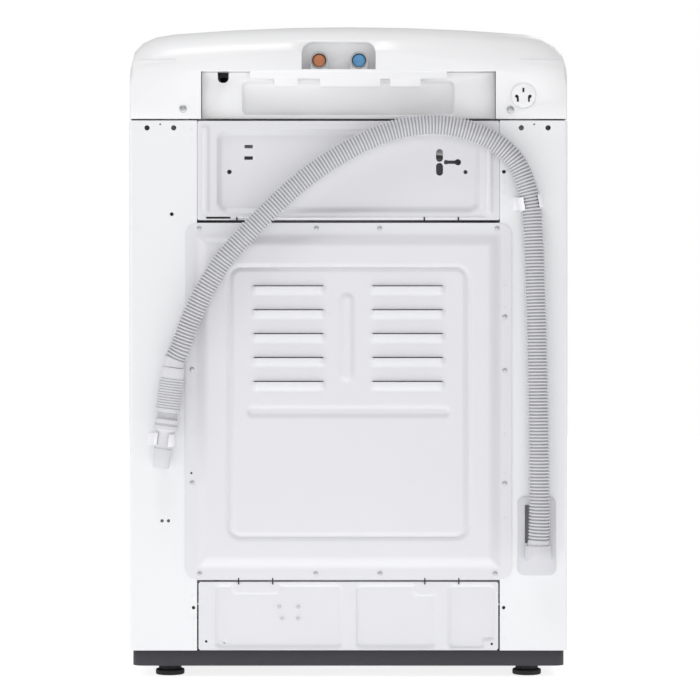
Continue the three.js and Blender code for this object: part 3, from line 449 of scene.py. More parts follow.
def cut_with(obj, cutters):
    """Cuts round holes, each (x, z, radius) in metres, straight through a sheet that faces the back."""
    high = CAD_BOX[1]
    vertices, faces = [], []
    n = HOLE_SIDES
    for x, z, r in cutters:
        first = len(vertices)
        for y in (high[1] - 0.12, high[1] + 0.05):
            vertices += [(x + r * math.cos(math.tau * i / n), y, z + r * math.sin(math.tau * i / n))
                         for i in range(n)]
        faces += [(first + i, first + (i + 1) % n, first + n + (i + 1) % n, first + n + i) for i in range(n)]
        faces += [tuple(first + i for i in range(n)), tuple(first + n + i for i in range(n))]
    tool = new_piece(obj.name + "_holes", vertices, faces)
    cut = obj.modifiers.new("holes", "BOOLEAN")
    cut.operation = "DIFFERENCE"
    cut.solver = "EXACT"
    cut.object = tool
    apply_modifiers(obj)
    bpy.data.objects.remove(tool)
    smooth_by_angle(obj)


# ---- pressed sheets ----------------------------------------------------------------------------

def smooth_step(value):
    t = np.clip(value, 0.0, 1.0)
    return t * t * (3 - 2 * t)


def inside_rect(x, z, x0, x1, z0, z1, r):
    """How far inside a rounded rectangle each point is, in mm; negative outside."""
    px = np.abs(x - (x0 + x1) / 2) - (x1 - x0) / 2 + r
    pz = np.abs(z - (z0 + z1) / 2) - (z1 - z0) / 2 + r
    outside = np.hypot(np.maximum(px, 0), np.maximum(pz, 0))
    return r - outside - np.minimum(np.maximum(px, pz), 0)


def grid_lines(marks, step):
    """Lines between marks, evenly spread and no further apart than step."""
    lines = []
    for low, high in zip(marks, marks[1:]):
        count = max(1, math.ceil((high - low) / step))
        lines += [low + (high - low) * i / count for i in range(count)]
    return np.array(lines + [marks[-1]])


def pressed_sheet(name, x_marks, z_marks, step, face_y, height, thick, corner_r=2.0, slots=()):
    """A steel sheet facing the back, its relief given by height(x, z) in mm, with rectangular slots."""
    xs, zs = grid_lines(x_marks, step), grid_lines(z_marks, step)
    half = (xs[-1] - xs[0]) / 2
    middle = (xs[-1] + xs[0]) / 2
    from_end = np.minimum(zs - zs[0], zs[-1] - zs)
    bow = np.clip(corner_r - from_end, 0, corner_r)
    reach = half - (corner_r - np.sqrt(np.maximum(corner_r ** 2 - bow ** 2, 0)))
    inner = half - corner_r
    stretch = (reach - inner) / corner_r
    offset = xs[None, :] - middle
    edge = np.abs(offset) > inner
    x_all = np.where(edge, middle + np.sign(offset) * (inner + (np.abs(offset) - inner) * stretch[:, None]),
                     middle + offset)
    z_all = np.repeat(zs[:, None], len(xs), 1)
    y_all = face_y + height(x_all, z_all)
    rows, columns = x_all.shape
    vertices = np.stack([x_all, y_all, z_all], -1).reshape(-1, 3) * MM
    faces = []
    mid_x, mid_z = (xs[1:] + xs[:-1]) / 2, (zs[1:] + zs[:-1]) / 2
    open_cells = np.zeros((rows - 1, columns - 1), bool)
    for x0, x1, z0, z1 in slots:
        open_cells |= ((mid_x > x0) & (mid_x < x1))[None, :] & ((mid_z > z0) & (mid_z < z1))[:, None]
    for i, j in np.argwhere(~open_cells):
        a = i * columns + j
        faces.append((a, a + columns, a + columns + 1, a + 1))
    mesh = bpy.data.meshes.new(name)
    mesh.from_pydata(vertices.tolist(), [], faces)
    obj = bpy.data.objects.new(name, mesh)
    bpy.context.scene.collection.objects.link(obj)
    wall = obj.modifiers.new("wall", "SOLIDIFY")
    wall.thickness = thick * MM
    wall.offset = -1.0
    apply_modifiers(obj)
    tidy_mesh(obj, 50.0)
    return obj


def capsule(x, z, x0, x1, z0, z1):
    """How far inside a bar with round ends each point is, as a share of its half width."""
    r = min(x1 - x0, z1 - z0) / 2
    return inside_rect(x, z, x0, x1, z0, z1, r * 0.98) / r


# ---- the drain hose ----------------------------------------------------------------------------

HOSE_DIAMETER = 0.031
HOSE_POINTS = [
    (-272, 318.6, 184), (-273.6, 318.6, 240), (-273.4, 318.6, 300), (-272.4, 318.6, 372), (-271, 318.6, 443),
    (-269.7, 318.6, 505), (-267.4, 318.6, 572), (-265.3, 318.6, 630), (-261.6, 318.6, 680),
    (-253.8, 318.6, 712), (-240.5, 318.6, 741), (-220.9, 318.6, 762), (-194.5, 318.6, 778),
    (-163, 318.8, 789), (-124.7, 319, 794.8), (-70.5, 320, 788), (-20.4, 321, 769), (34, 322.5, 738),
    (79.1, 324, 703.5), (115, 325, 670), (147, 325.5, 637), (178, 325.5, 601), (203.3, 325, 562),
    (225.3, 323.5, 517), (241.5, 321.5, 474), (249.3, 320, 457.2), (250.5, 320, 447.2),
]
NOZZLE_TIP = Vector((268.9, 319, 303)) * MM


def smooth_route(points, spacing):
    """Points along a centripetal curve through the given ones, evenly spaced."""
    p = np.array(points, float)
    p = np.vstack([2 * p[0] - p[1], p, 2 * p[-1] - p[-2]])
    dense = []
    for a, b, c, d in zip(p, p[1:], p[2:], p[3:]):
        t0, t1 = 0.0, np.linalg.norm(b - a) ** 0.5
        t2 = t1 + np.linalg.norm(c - b) ** 0.5
        t3 = t2 + np.linalg.norm(d - c) ** 0.5
        for t in np.linspace(t1, t2, 40, endpoint=False):
            ab = a * (t1 - t) / (t1 - t0) + b * (t - t0) / (t1 - t0)
            bc = b * (t2 - t) / (t2 - t1) + c * (t - t1) / (t2 - t1)
            cd = c * (t3 - t) / (t3 - t2) + d * (t - t2) / (t3 - t2)
            abc = ab * (t2 - t) / (t2 - t0) + bc * (t - t0) / (t2 - t0)
            bcd = bc * (t3 - t) / (t3 - t1) + cd * (t - t1) / (t3 - t1)
            dense.append(abc * (t2 - t) / (t2 - t1) + bcd * (t - t1) / (t2 - t1))
    dense.append(p[-2])
    dense = np.array(dense)
    along = np.concatenate([[0], np.cumsum(np.linalg.norm(np.diff(dense, axis=0), axis=1))])
    count = max(2, round(along[-1] / spacing))
    at = np.linspace(0, along[-1], count + 1)
    return np.stack([np.interp(at, along, dense[:, k]) for k in range(3)], 1), along[-1]


def ring_round(centre, tangent, radius, sides, start=0.0):
    """A ring of points across a line that mostly keeps to the XZ plane."""
    across = np.cross(tangent, (0.0, 1.0, 0.0))
    across /= np.linalg.norm(across)
    outward = np.cross(across, tangent)
    angles = start + np.arange(sides) * math.tau / sides
    return centre + radius * (np.cos(angles)[:, None] * across + np.sin(angles)[:, None] * outward)


def build_hose(pitch, sides):
    """The corrugated hose: four rings to a corrugation, and smooth cuffs at both ends."""
    radius = HOSE_DIAMETER / 2
    line, length = smooth_route(np.array(HOSE_POINTS) * MM, pitch / 4)
    tangents = np.gradient(line, axis=0)
    tangents /= np.linalg.norm(tangents, axis=1)[:, None]
    crest, valley = radius - 0.0002, radius - 0.0024
    cuff = round(0.014 / (pitch / 4))
    vertices, groove = [], []
    for i, (point, tangent) in enumerate(zip(line, tangents)):
        high = i % 4 < 2 or i < cuff or i > len(line) - 1 - cuff
        vertices.append(ring_round(point, tangent, crest if high else valley, sides))
        # groove is 1 in the valleys: the mask for the shade that the hose finish paints there.
        groove += [0.0 if high else 1.0] * sides
    rows = len(line)
    faces = []
    for i in range(rows - 1):
        here, there = i * sides, (i + 1) * sides
        faces += [(here + k, there + k, there + (k + 1) % sides,
                   here + (k + 1) % sides) for k in range(sides)]
    faces += [tuple(range(sides)), tuple((rows - 1) * sides + k for k in range(sides))]
    obj = new_piece("corrugated_drain_hose", np.vstack(vertices).tolist(), faces, 75.0)
    mask = obj.data.attributes.new("groove", "FLOAT", "POINT")
    mask.data.foreach_set("value", groove)
    return obj, line, length


def build_nozzle():
    """The hose's end fitting: cuff, ribbed sleeve, collar, neck and tapered nozzle."""
    start = Vector(HOSE_POINTS[-1]) * MM
    along = NOZZLE_TIP - start
    length = along.length / MM
    profile = [(8.0, 0.4), (16.2, 0.4), (16.5, 0.8), (16.5, 15.2), (16.2, 15.8)]
    z = 17.0
    while z < 62:
        profile += [(17.0, z), (18.0, z + 0.6), (18.0, z + 2.2), (17.0, z + 2.8)]
        z += 3.8
    profile += [(14.0, 64.0), (13.6, 65.0), (13.6, 73.0), (16.8, 75.0), (17.25, 75.6), (17.25, 80.0),
                (16.4, 80.8), (16.4, 83.4), (17.25, 84.2), (17.25, 89.6), (16.8, 90.2), (12.4, 91.6),
                (12.0, 92.4), (12.0, 115.5),
                (12.6, 116.6), (13.9, 117.8), (14.0, 119.0), (11.7, length - 1.0), (11.3, length - 0.3),
                (10.6, length - 0.1), (8.4, length - 0.1), (8.0, length - 0.8), (8.0, 0.4)]
    # Painted shade for the nozzle's recesses: rib valleys, neck, collar groove and, darkest, the bore.
    recess_shade_of = {17.0: 0.6, 13.6: 0.5, 16.4: 0.5, 8.0: 0.9}
    obj = turned("drain_hose_nozzle", in_metres(profile), start, along, 48, 28.0)
    axis = along.normalized()
    mask = obj.data.attributes.new("groove", "FLOAT", "POINT")
    for vertex, value in zip(obj.data.vertices, mask.data):
        offset = vertex.co - start
        r = round((offset - axis * offset.dot(axis)).length / MM, 1)
        value.value = recess_shade_of.get(r, 0.0)
    return obj


# ---- back panels -------------------------------------------------------------------------------

def louvre_rows(props):
    return [props.louvre_top / MM - row * props.louvre_pitch / MM for row in range(5)]


def rear_cover_relief(props):
    """The rear cover's relief: plateau, frame channel, louvre hoods, centre rib and cross bead."""
    rows = louvre_rows(props)

    def height(x, z):
        y = 7.0 * smooth_step((inside_rect(x, z, -235, 235, 141, 655, 18) - 15) / 19)
        channel = inside_rect(x, z, -170.6, 170.6, 203.8, 590.4, 16)
        y = y - 3.2 * smooth_step(1.0 - np.abs(channel) / 5.5)
        y = y + 3.0 * smooth_step(1.8 * capsule(x, z, -8.5, 12.5, 425, 554))
        y = y - 2.8 * smooth_step(1.8 * capsule(x, z, -147, 147, 375, 392))
        for top in rows:
            for x0, x1 in ((32.4, 139.4), (-139.0, -31.0)):
                across = smooth_step(np.minimum(x - x0, x1 - x) / 7.0)
                drop = np.clip((top - z) / 12.5, 0, 1)
                hood = np.where((z <= top + 0.01) & (z > top - 12.5), 1 - drop ** 3, 0)
                y = y + 4.6 * hood * across
        return y
    return height


def build_rear_cover(props):
    face = NODE_FACE["rear_cover"]
    spans = ((36, 136), (-135.5, -34.5))
    slots = [(x0, x1, top, top + 1.5) for top in louvre_rows(props) for x0, x1 in spans]
    z_marks = sorted({141.0, 655.0, *[v for s in slots for v in (s[2] - 12.6, s[2], s[3])]})
    x_marks = [-235.0, -135.5, -34.5, 36.0, 136.0, 235.0]
    return pressed_sheet("pressed_rear_cover", x_marks, z_marks, props.panel_grid / MM, face,
                         rear_cover_relief(props), 0.8, 18.0, slots)


def upper_panel_relief(x, z):
    y = -7.0 * smooth_step(inside_rect(x, z, -190, 190, 669.6, 790, 16) / 7.0)
    for x0, x1 in ((200, 211), (-208, -199)):
        y = y + 2.4 * smooth_step(1.7 * capsule(x, z, x0, x1, 668, 796))
    y = y + 1.6 * smooth_step(1.0 - np.abs(z - 662.5) / 2.2) * (np.abs(x) < 196)
    return y


def lower_panel_relief(x, z):
    wide = inside_rect(x, z, 9, 192, 43, 134, 7)
    dip = inside_rect(x, z, 100, 165, 122.7, 150, 5)
    middle = inside_rect(x, z, -126, -10.5, 43, 134, 7)
    step = inside_rect(x, z, -140, -96, 120, 150, 5)
    right = inside_rect(x, z, -211, -144, 42, 134, 7)
    notch = inside_rect(x, z, -230, -195, 20, 54, 4)
    y = -3.0 * smooth_step(np.minimum(wide, -dip) / 3.2)
    y = y - 3.0 * smooth_step(np.minimum(middle, -step) / 3.2)
    y = y - 3.0 * smooth_step(np.minimum(right, -notch) / 3.2)
    return y


NODE_FACE = {"rear_cover": 301.3, "upper_back_panel": 299.5, "lower_back_panel": 299.5}


def build_upper_panel(props):
    slots = [(138, 150, 763, 768), (138, 150, 746.5, 751.5), (-158, -141, 740.5, 745.5),
             (169.5, 205, 661, 664), (-136.5, -126.5, 749, 757), (-136.5, -126.5, 729, 737)]
    x_marks = sorted({-217.6, 217.6, *[v for s in slots for v in s[:2]]})
    z_marks = sorted({659.0, 802.0, *[v for s in slots for v in s[2:]]})
    obj = pressed_sheet("pressed_upper_back_panel", x_marks, z_marks, props.panel_grid / MM,
                        NODE_FACE["upper_back_panel"], upper_panel_relief, 0.8, 2.0, slots)
    cut_with(obj, [(x * MM, z * MM, r * MM) for x, z, r in (
        (171.8, 729, 3.3), (-169, 728.8, 2.9), (-131.5, 757, 5), (-131.5, 748.6, 5), (-131.5, 737, 5),
        (-131.5, 728.6, 5), (-158, 743, 4.6), (-141, 743, 3.3))])
    return obj


def build_lower_panel(props):
    obj = pressed_sheet("pressed_lower_back_panel", [-215.8, 215.8], [39.6, 138.0], props.panel_grid / MM,
                        NODE_FACE["lower_back_panel"], lower_panel_relief, 0.8, 2.0)
    cut_with(obj, [(x * MM, z * MM, r * MM) for x, z, r in (
        (204.8, 52.4, 1.8), (177.7, 52, 3.0), (-206.5, 48.6, 1.8))])
    return obj


# ---- repeated fasteners ------------------------------------------------------------------------

# Screws, pressed dimples and holes on the back: (x, z) in mm on each face. Each hole gets a black pip, painted
# shade for the hole.
COVER_SCREWS = [(215, 647), (46, 647), (-45, 647), (-214, 647),
                (214, 150), (47, 150), (-45.5, 150), (-211, 150),
                (225, 444), (225, 280.9), (-225, 519.7), (-225, 442.5), (-225, 279.9)]
COVER_HOLES = [(226, 294.9)]
COVER_DIMPLES = [(225, 566.5), (225, 350.5), (-225, 563.8), (-225, 533.4), (-225, 351),
                 (-225, 294.2), (-225, 229.8)]
CABINET_HOLES = [(271, 797), (-267.6, 797)]
PANEL_STUDS = [(99.9, 101.4), (72.6, 101.4), (95.2, 84.4), (72.6, 84.4)]
CABINET_DIMPLES = [(227, 789), (227, 775), (-223.5, 713), (-223.5, 698), (-223.5, 683),
                   (223.5, 117), (223.5, 86), (223.5, 55), (-223.5, 117), (-223.5, 86), (-223.5, 55)]
TOP_SCREWS = [(238.2, 819), (-233.1, 818.2)]


def screw_head(radius):
    """A pan head with a cross recess, facing +Z, its seat at z = 0."""
    profile = [(0, 0), (radius, 0), (radius, radius * 0.22)]
    profile += [(radius * math.cos(t), radius * (0.22 + 0.3 * math.sin(t))) for t in (0.4, 0.8, 1.2)]
    profile += [(0, radius * 0.53)]
    head = turned("screw_head", profile, (0, 0, 0), sides=18)
    arm, wide, deep = radius * 0.52, radius * 0.13, radius * 0.2
    spans = [((-arm, -wide, deep), (arm, wide, radius)), ((-wide, -arm, deep), (wide, arm, radius))]
    for low, high in spans:
        corners, sides = box_mesh(low, high)
        tool = new_piece("recess_tool", corners, sides)
        cut = head.modifiers.new("recess", "BOOLEAN")
        cut.operation = "DIFFERENCE"
        cut.solver = "EXACT"
        cut.object = tool
        apply_modifiers(head)
        bpy.data.objects.remove(tool)
    smooth_by_angle(head, 30.0)
    return head


def dimple_ring(radius):
    """A small pressed pip with a rim, facing +Z."""
    profile = [(0, 0), (radius, 0), (radius * 0.9, radius * 0.16), (radius * 0.6, radius * 0.2),
               (radius * 0.45, radius * 0.08), (0, radius * 0.05)]
    return turned("dimple", profile, (0, 0, 0), sides=16)


def scatter_tree():
    """Geometry Nodes: one copy of a shape on every point, turned to face the back."""
    tree = bpy.data.node_groups.new("copies_on_points", "GeometryNodeTree")
    io = tree.interface
    io.new_socket("Geometry", in_out="INPUT", socket_type="NodeSocketGeometry")
    io.new_socket("Shape", in_out="INPUT", socket_type="NodeSocketObject")
    size = io.new_socket("Size", in_out="INPUT", socket_type="NodeSocketFloat")
    size.default_value = 1.0
    turn = io.new_socket("Turn", in_out="INPUT", socket_type="NodeSocketVector")
    turn.default_value = (-math.pi / 2, 0.0, 0.0)
    io.new_socket("Finish", in_out="INPUT", socket_type="NodeSocketMaterial")
    io.new_socket("Geometry", in_out="OUTPUT", socket_type="NodeSocketGeometry")
    nodes, links = tree.nodes, tree.links
    source, target = nodes.new("NodeGroupInput"), nodes.new("NodeGroupOutput")
    shape = nodes.new("GeometryNodeObjectInfo")
    copies = nodes.new("GeometryNodeInstanceOnPoints")
    realize = nodes.new("GeometryNodeRealizeInstances")
    paint = nodes.new("GeometryNodeSetMaterial")
    links.new(source.outputs["Shape"], shape.inputs["Object"])
    links.new(source.outputs["Geometry"], copies.inputs["Points"])
    links.new(shape.outputs["Geometry"], copies.inputs["Instance"])
    links.new(source.outputs["Turn"], copies.inputs["Rotation"])
    links.new(source.outputs["Size"], copies.inputs["Scale"])
    links.new(copies.outputs["Instances"], realize.inputs["Geometry"])
    links.new(realize.outputs["Geometry"], paint.inputs["Geometry"])
    links.new(source.outputs["Finish"], paint.inputs["Material"])
    links.new(paint.outputs["Geometry"], target.inputs["Geometry"])
    return tree


def scatter(name, points, shape, look, size=1.0):
    """A plain mesh with a copy of shape on every point, made by Geometry Nodes."""
    tree = bpy.data.node_groups.get("copies_on_points") or scatter_tree()
    mesh = bpy.data.meshes.new(name)
    mesh.from_pydata([tuple(p) for p in points], [], [])
    obj = bpy.data.objects.new(name, mesh)
    bpy.context.scene.collection.objects.link(obj)
    copies = obj.modifiers.new("copies", "NODES")
    copies.node_group = tree
    sockets = {item.name: item.identifier for item in tree.interface.items_tree if item.in_out == "INPUT"}
    copies[sockets["Shape"]] = shape
    copies[sockets["Size"]] = size
    copies[sockets["Finish"]] = finish(look)
    obj.update_tag()
    apply_modifiers(obj)
    smooth_by_angle(obj, 30.0)
    return obj


def on_back(spots, y):
    return [Vector((x, y, z)) * MM for x, z in spots]


# ---- cover, lid and controls -------------------------------------------------------------------

def panel_frame():
    """The control panel's own frame, from the dial's joint: its origin and the direction out of it."""
    joint = next(j for j in frame["joints"] if j["name"] == "dial_turn")
    return Vector(joint["pos_m"]), Vector(joint["axis"])


def on_panel(x, y=0.0, z=0.0):
    origin, out = panel_frame()
    up = out.cross(Vector((1, 0, 0)))
    return origin + Vector((x, 0, 0)) * MM + up * y * MM + out * z * MM


def build_dial():
    origin, out = panel_frame()
    grip = lambda a, r, z: 1.0 + (0.018 * math.cos(36 * a) if r > 0.0215 and z > 0.004 else 0.0)
    profile = [(0, -13), (5.6, -13), (5.6, 0.7), (23.2, 0.7), (23.6, 1.2), (23.6, 3.6), (22.2, 4.4),
               (22.0, 5.0), (21.6, 14.4), (20.6, 16.0), (19.0, 16.7), (16.0, 16.3), (10.0, 15.9), (0, 15.8)]
    return turned("program_dial_knob", in_metres(profile), origin, out, 144, 34.0, grip)


def build_dial_mark():
    """The raised pointer on the dial's face."""
    obj = boxes("dial_pointer", [((-0.9 * MM, 9 * MM, 16.0 * MM), (0.9 * MM, 18.5 * MM, 16.9 * MM))], 0.0003)
    place_on_panel(obj)
    return obj


def place_on_panel(obj):
    origin, out = panel_frame()
    up = out.cross(Vector((1, 0, 0)))
    turn = Matrix(((1, up.x, out.x), (0, up.y, out.y), (0, up.z, out.z))).to_4x4()
    obj.data.transform(Matrix.Translation(origin) @ turn)


def build_dial_scale():
    """Raised tick marks on the panel round the dial, with nothing written."""
    vertices, faces = [], []
    for i in range(24):
        a = math.tau * i / 24
        long = 5.5 if i % 3 == 0 else 3.0
        corners, sides = box_mesh(*in_metres([(-0.35, 26.5, 0.02), (0.35, 26.5 + long, 0.25)]))
        faces += [tuple(len(vertices) + k for k in side) for side in sides]
        vertices += [Matrix.Rotation(a, 3, "Z") @ c for c in corners]
    obj = new_piece("dial_scale", vertices, faces)
    place_on_panel(obj)
    return obj


def build_button(name, x, r):
    origin = on_panel(x)
    profile = [(0, -10), (r - 1, -10), (r - 0.2, -9), (r - 0.2, 1.2), (r - 0.7, 2.0), (r - 1.6, 2.15),
               (r - 3.2, 1.7), (0, 1.3)]
    return turned(name + "_cap", in_metres(profile), origin, panel_frame()[1], 48, 34.0)


def build_inlet(name, x):
    """A water inlet: a seat, the thread of its collar and the step of its bore."""
    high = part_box(name + "_inlet_valve")[1]
    tip, z = high.y / MM, 890.6
    profile = [(10.6, tip - 19.5), (10.6, tip - 0.8), (11.2, tip), (12.4, tip), (12.7, tip - 0.8)]
    y = tip - 1.6
    while y > tip - 19:
        profile += [(13.15, y), (13.15, y - 0.5), (12.2, y - 1.1), (12.2, y - 1.5)]
        y -= 1.81
    profile += [(12.2, tip - 20.5), (13.15, tip - 21.5), (13.15, tip - 27), (8, tip - 27), (8, tip - 19.5),
                (10.6, tip - 19.5)]
    return turned(name + "_inlet_collar", in_metres(profile), (x * MM, 0, z * MM),
                  (0, 1, 0), 64, 28.0)


INLET_Z = 890.6


def build_screen(name, x):
    """The coloured disc in a water inlet, with a raised bar across a shallow dish, and a black ring round it as
    painted shade for the bore's gap.
    """
    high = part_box(name + "_inlet_screen")[1]
    top = high.y / MM
    profile = [(0, top - 3.6), (9.0, top - 3.6), (9.0, top - 0.6), (8.4, top - 0.1), (7.8, top - 0.1),
               (7.2, top - 1.0), (0, top - 1.0)]
    at = (x * MM, 0, INLET_Z * MM)
    disc = turned(name + "_screen_disc", in_metres(profile), at, (0, 1, 0), 48, 30.0)
    bar = boxes(name + "_screen_bar", [
        (((x - 5.0) * MM, (top - 1.1) * MM, (INLET_Z - 0.9) * MM),
         ((x + 5.0) * MM, (top - 0.3) * MM, (INLET_Z + 0.9) * MM))], 0.0002)
    # A black ring round the disc: painted shade for the dark gap of the bore.
    bore_shade_ring = turned(name + "_screen_seal", [(r * MM, h * MM) for r, h in (
        (9.1, top - 3.4), (10.5, top - 3.4), (10.5, top + 0.4), (10.2, top + 0.8), (9.4, top + 0.8),
        (9.1, top + 0.4), (9.1, top - 3.4))], at, (0, 1, 0), 48, 30.0)
    return disc, bar, bore_shade_ring


def build_pedestal(name, x):
    """The saddle under a water inlet, on the floor of its alcove."""
    return boxes(name + "_inlet_saddle", [
        (((x - 10.5) * MM, 264 * MM, 876.8 * MM), ((x + 10.5) * MM, 288 * MM, 880.6 * MM)),
        (((x - 12.0) * MM, 264 * MM, 876.8 * MM), ((x - 10.6) * MM, 288 * MM, 884 * MM)),
        (((x + 10.6) * MM, 264 * MM, 876.8 * MM), ((x + 12.0) * MM, 288 * MM, 884 * MM))], 0.0002)


def build_tab_gap_shades():
    """Black boxes in the gaps at the hinged tabs of the back panels: painted shade for the gaps."""
    spans = [((x - 1.0, 299.7, 656.5), (x + 1.0, 301.4, 663.5)) for x in (160.6, 111.5, -109.3, -158.3)]
    spans += [((x - 0.9, 299.7, 134.5), (x + 0.9, 301.4, 144.0)) for x in (158, 109, -110, -159)]
    return boxes("tab_slots", [in_metres(span) for span in spans], 0.0001)


def build_cover_lines():
    """The two short trim lines near the cover's rear corners."""
    spans = [((x0, 299.6, 889.4), (x1, 300.2, 890.2)) for x0, x1 in ((248, 302), (-302, -248))]
    return boxes("cover_trim_lines", [in_metres(span) for span in spans], 0.0001)


# ---- tub and drive -----------------------------------------------------------------------------

def tub_axis():
    joint = next(j for j in frame["joints"] if j["name"] == "basket_spin")
    return Vector((joint["pos_m"][0], joint["pos_m"][1], 0))


def build_basket(props):
    """The spin basket: a perforated wall over a dished base."""
    low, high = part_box("wash_basket")
    centre = tub_axis()
    radius = (high.x - low.x) / 2 - 0.0004
    columns, rows = props.basket_columns, props.basket_rows
    z0, z1 = low.z + 0.03, high.z - 0.012
    vertices, faces = [], []
    shares = [(0, 0), (0.5, 0), (1, 0), (1, 0.5), (1, 1), (0.5, 1), (0, 1), (0, 0.5)]
    step_a, step_z = math.tau / columns, (z1 - z0) / rows
    hole = props.basket_hole / 2
    for row in range(rows):
        for column in range(columns):
            a0, h0 = column * step_a, z0 + row * step_z
            first = len(vertices)
            for u, v in shares:
                a = a0 + u * step_a
                vertices.append(polar(radius, a, h0 + v * step_z))
            for u, v in shares:
                t = math.atan2(v - 0.5, u - 0.5)
                a = a0 + step_a / 2 + hole * math.cos(t) / radius
                vertices.append(polar(radius, a, h0 + step_z / 2 + hole * math.sin(t)))
            n = len(shares)
            faces += [(first + k, first + (k + 1) % n, first + n + (k + 1) % n,
                       first + n + k) for k in range(n)]
    sides = columns * 2
    base = [(radius, z0), (radius, low.z + 0.016), (radius - 0.004, low.z + 0.006),
            (radius - 0.014, low.z + 0.0015), (0.12, low.z + 0.0015), (0.02, low.z + 0.0015)]
    bands = [*zip(base, base[1:]), ((radius, high.z), (radius, z1))]
    for (r0, h0), (r1, h1) in bands:
        for i in range(sides):
            a, b = math.tau * i / sides, math.tau * (i + 1) / sides
            first = len(vertices)
            vertices += [polar(r0, a, h0), polar(r1, a, h1), polar(r1, b, h1), polar(r0, b, h0)]
            faces.append((first, first + 1, first + 2, first + 3))
    vertices = [Vector(v) + centre for v in vertices]
    obj = new_piece("perforated_basket", vertices, faces, 40.0)
    wall = obj.modifiers.new("wall", "SOLIDIFY")
    wall.thickness = 0.001
    wall.offset = -1.0
    apply_modifiers(obj)
    tidy_mesh(obj, 45.0)
    return obj


def foot_lobes(angle, radius, height):
    """Eight shallow finger lobes round the grip over a foot's pad."""
    if height > 0.0085 and radius > 0.012:
        return 1.0 - 0.05 * (0.5 + 0.5 * math.cos(8 * angle))
    return 1.0


# ---- settings ----------------------------------------------------------------------------------

class WasherSizes(bpy.types.PropertyGroup):
    """Sizes of the visual pieces."""

    hose_pitch: bpy.props.FloatProperty(
        name="Hose corrugation", description="Length of one corrugation of the drain hose",
        default=0.0047, min=0.003, max=0.01, unit="LENGTH")
    hose_sides: bpy.props.IntProperty(
        name="Hose sides", description="Points round each ring of the hose", default=24, min=12, max=48)
    panel_grid: bpy.props.FloatProperty(
        name="Sheet grid", description="Spacing of the points in a pressed sheet",
        default=0.0026, min=0.0015, max=0.01, unit="LENGTH")
    louvre_top: bpy.props.FloatProperty(
        name="Top louvre", description="Height of the top pair of louvres",
        default=0.5633, unit="LENGTH")
    louvre_pitch: bpy.props.FloatProperty(
        name="Louvre spacing", description="Height from one pair of louvres to the next",
        default=0.0343, unit="LENGTH")
    basket_columns: bpy.props.IntProperty(
        name="Holes round", description="Holes in each row round the basket", default=84, min=24, max=160)
    basket_rows: bpy.props.IntProperty(
        name="Hole rows", description="Rows of holes up the basket", default=20, min=6, max=40)
    basket_hole: bpy.props.FloatProperty(
        name="Basket hole", description="Diameter of one hole in the basket", default=0.0044, unit="LENGTH")


class WasherStudio(bpy.types.PropertyGroup):
    """The camera, floor and lights."""

    eye_distance: bpy.props.FloatProperty(
        name="Camera distance", description="From the machine's back to the camera",
        default=3.4, unit="LENGTH")
    eye_height: bpy.props.FloatProperty(
        name="Camera height", description="Height of the camera over the floor", default=0.472, unit="LENGTH")
    view_width: bpy.props.FloatProperty(
        name="View width", description="Width of the view at the machine's back",
        default=1.008, unit="LENGTH")
    floor_color: bpy.props.FloatVectorProperty(
        name="Floor", description="Colour of the floor and backdrop", subtype="COLOR",
        default=(0.93, 0.93, 0.94), min=0.0, max=1.0)
    key_power: bpy.props.FloatProperty(
        name="Key light", description="Power of the main light", default=15.0, min=0.0, unit="POWER")
    fill_power: bpy.props.FloatProperty(
        name="Fill light", description="Power of each side light", default=6.0, min=0.0, unit="POWER")
    eye_power: bpy.props.FloatProperty(
        name="Eye light", description="Power of the light beside the camera",
        default=7.0, min=0.0, unit="POWER")
    air_level: bpy.props.FloatProperty(
        name="Air light", description="Strength of the light from all round", default=0.4, min=0.0)


# ---- operators ---------------------------------------------------------------------------------

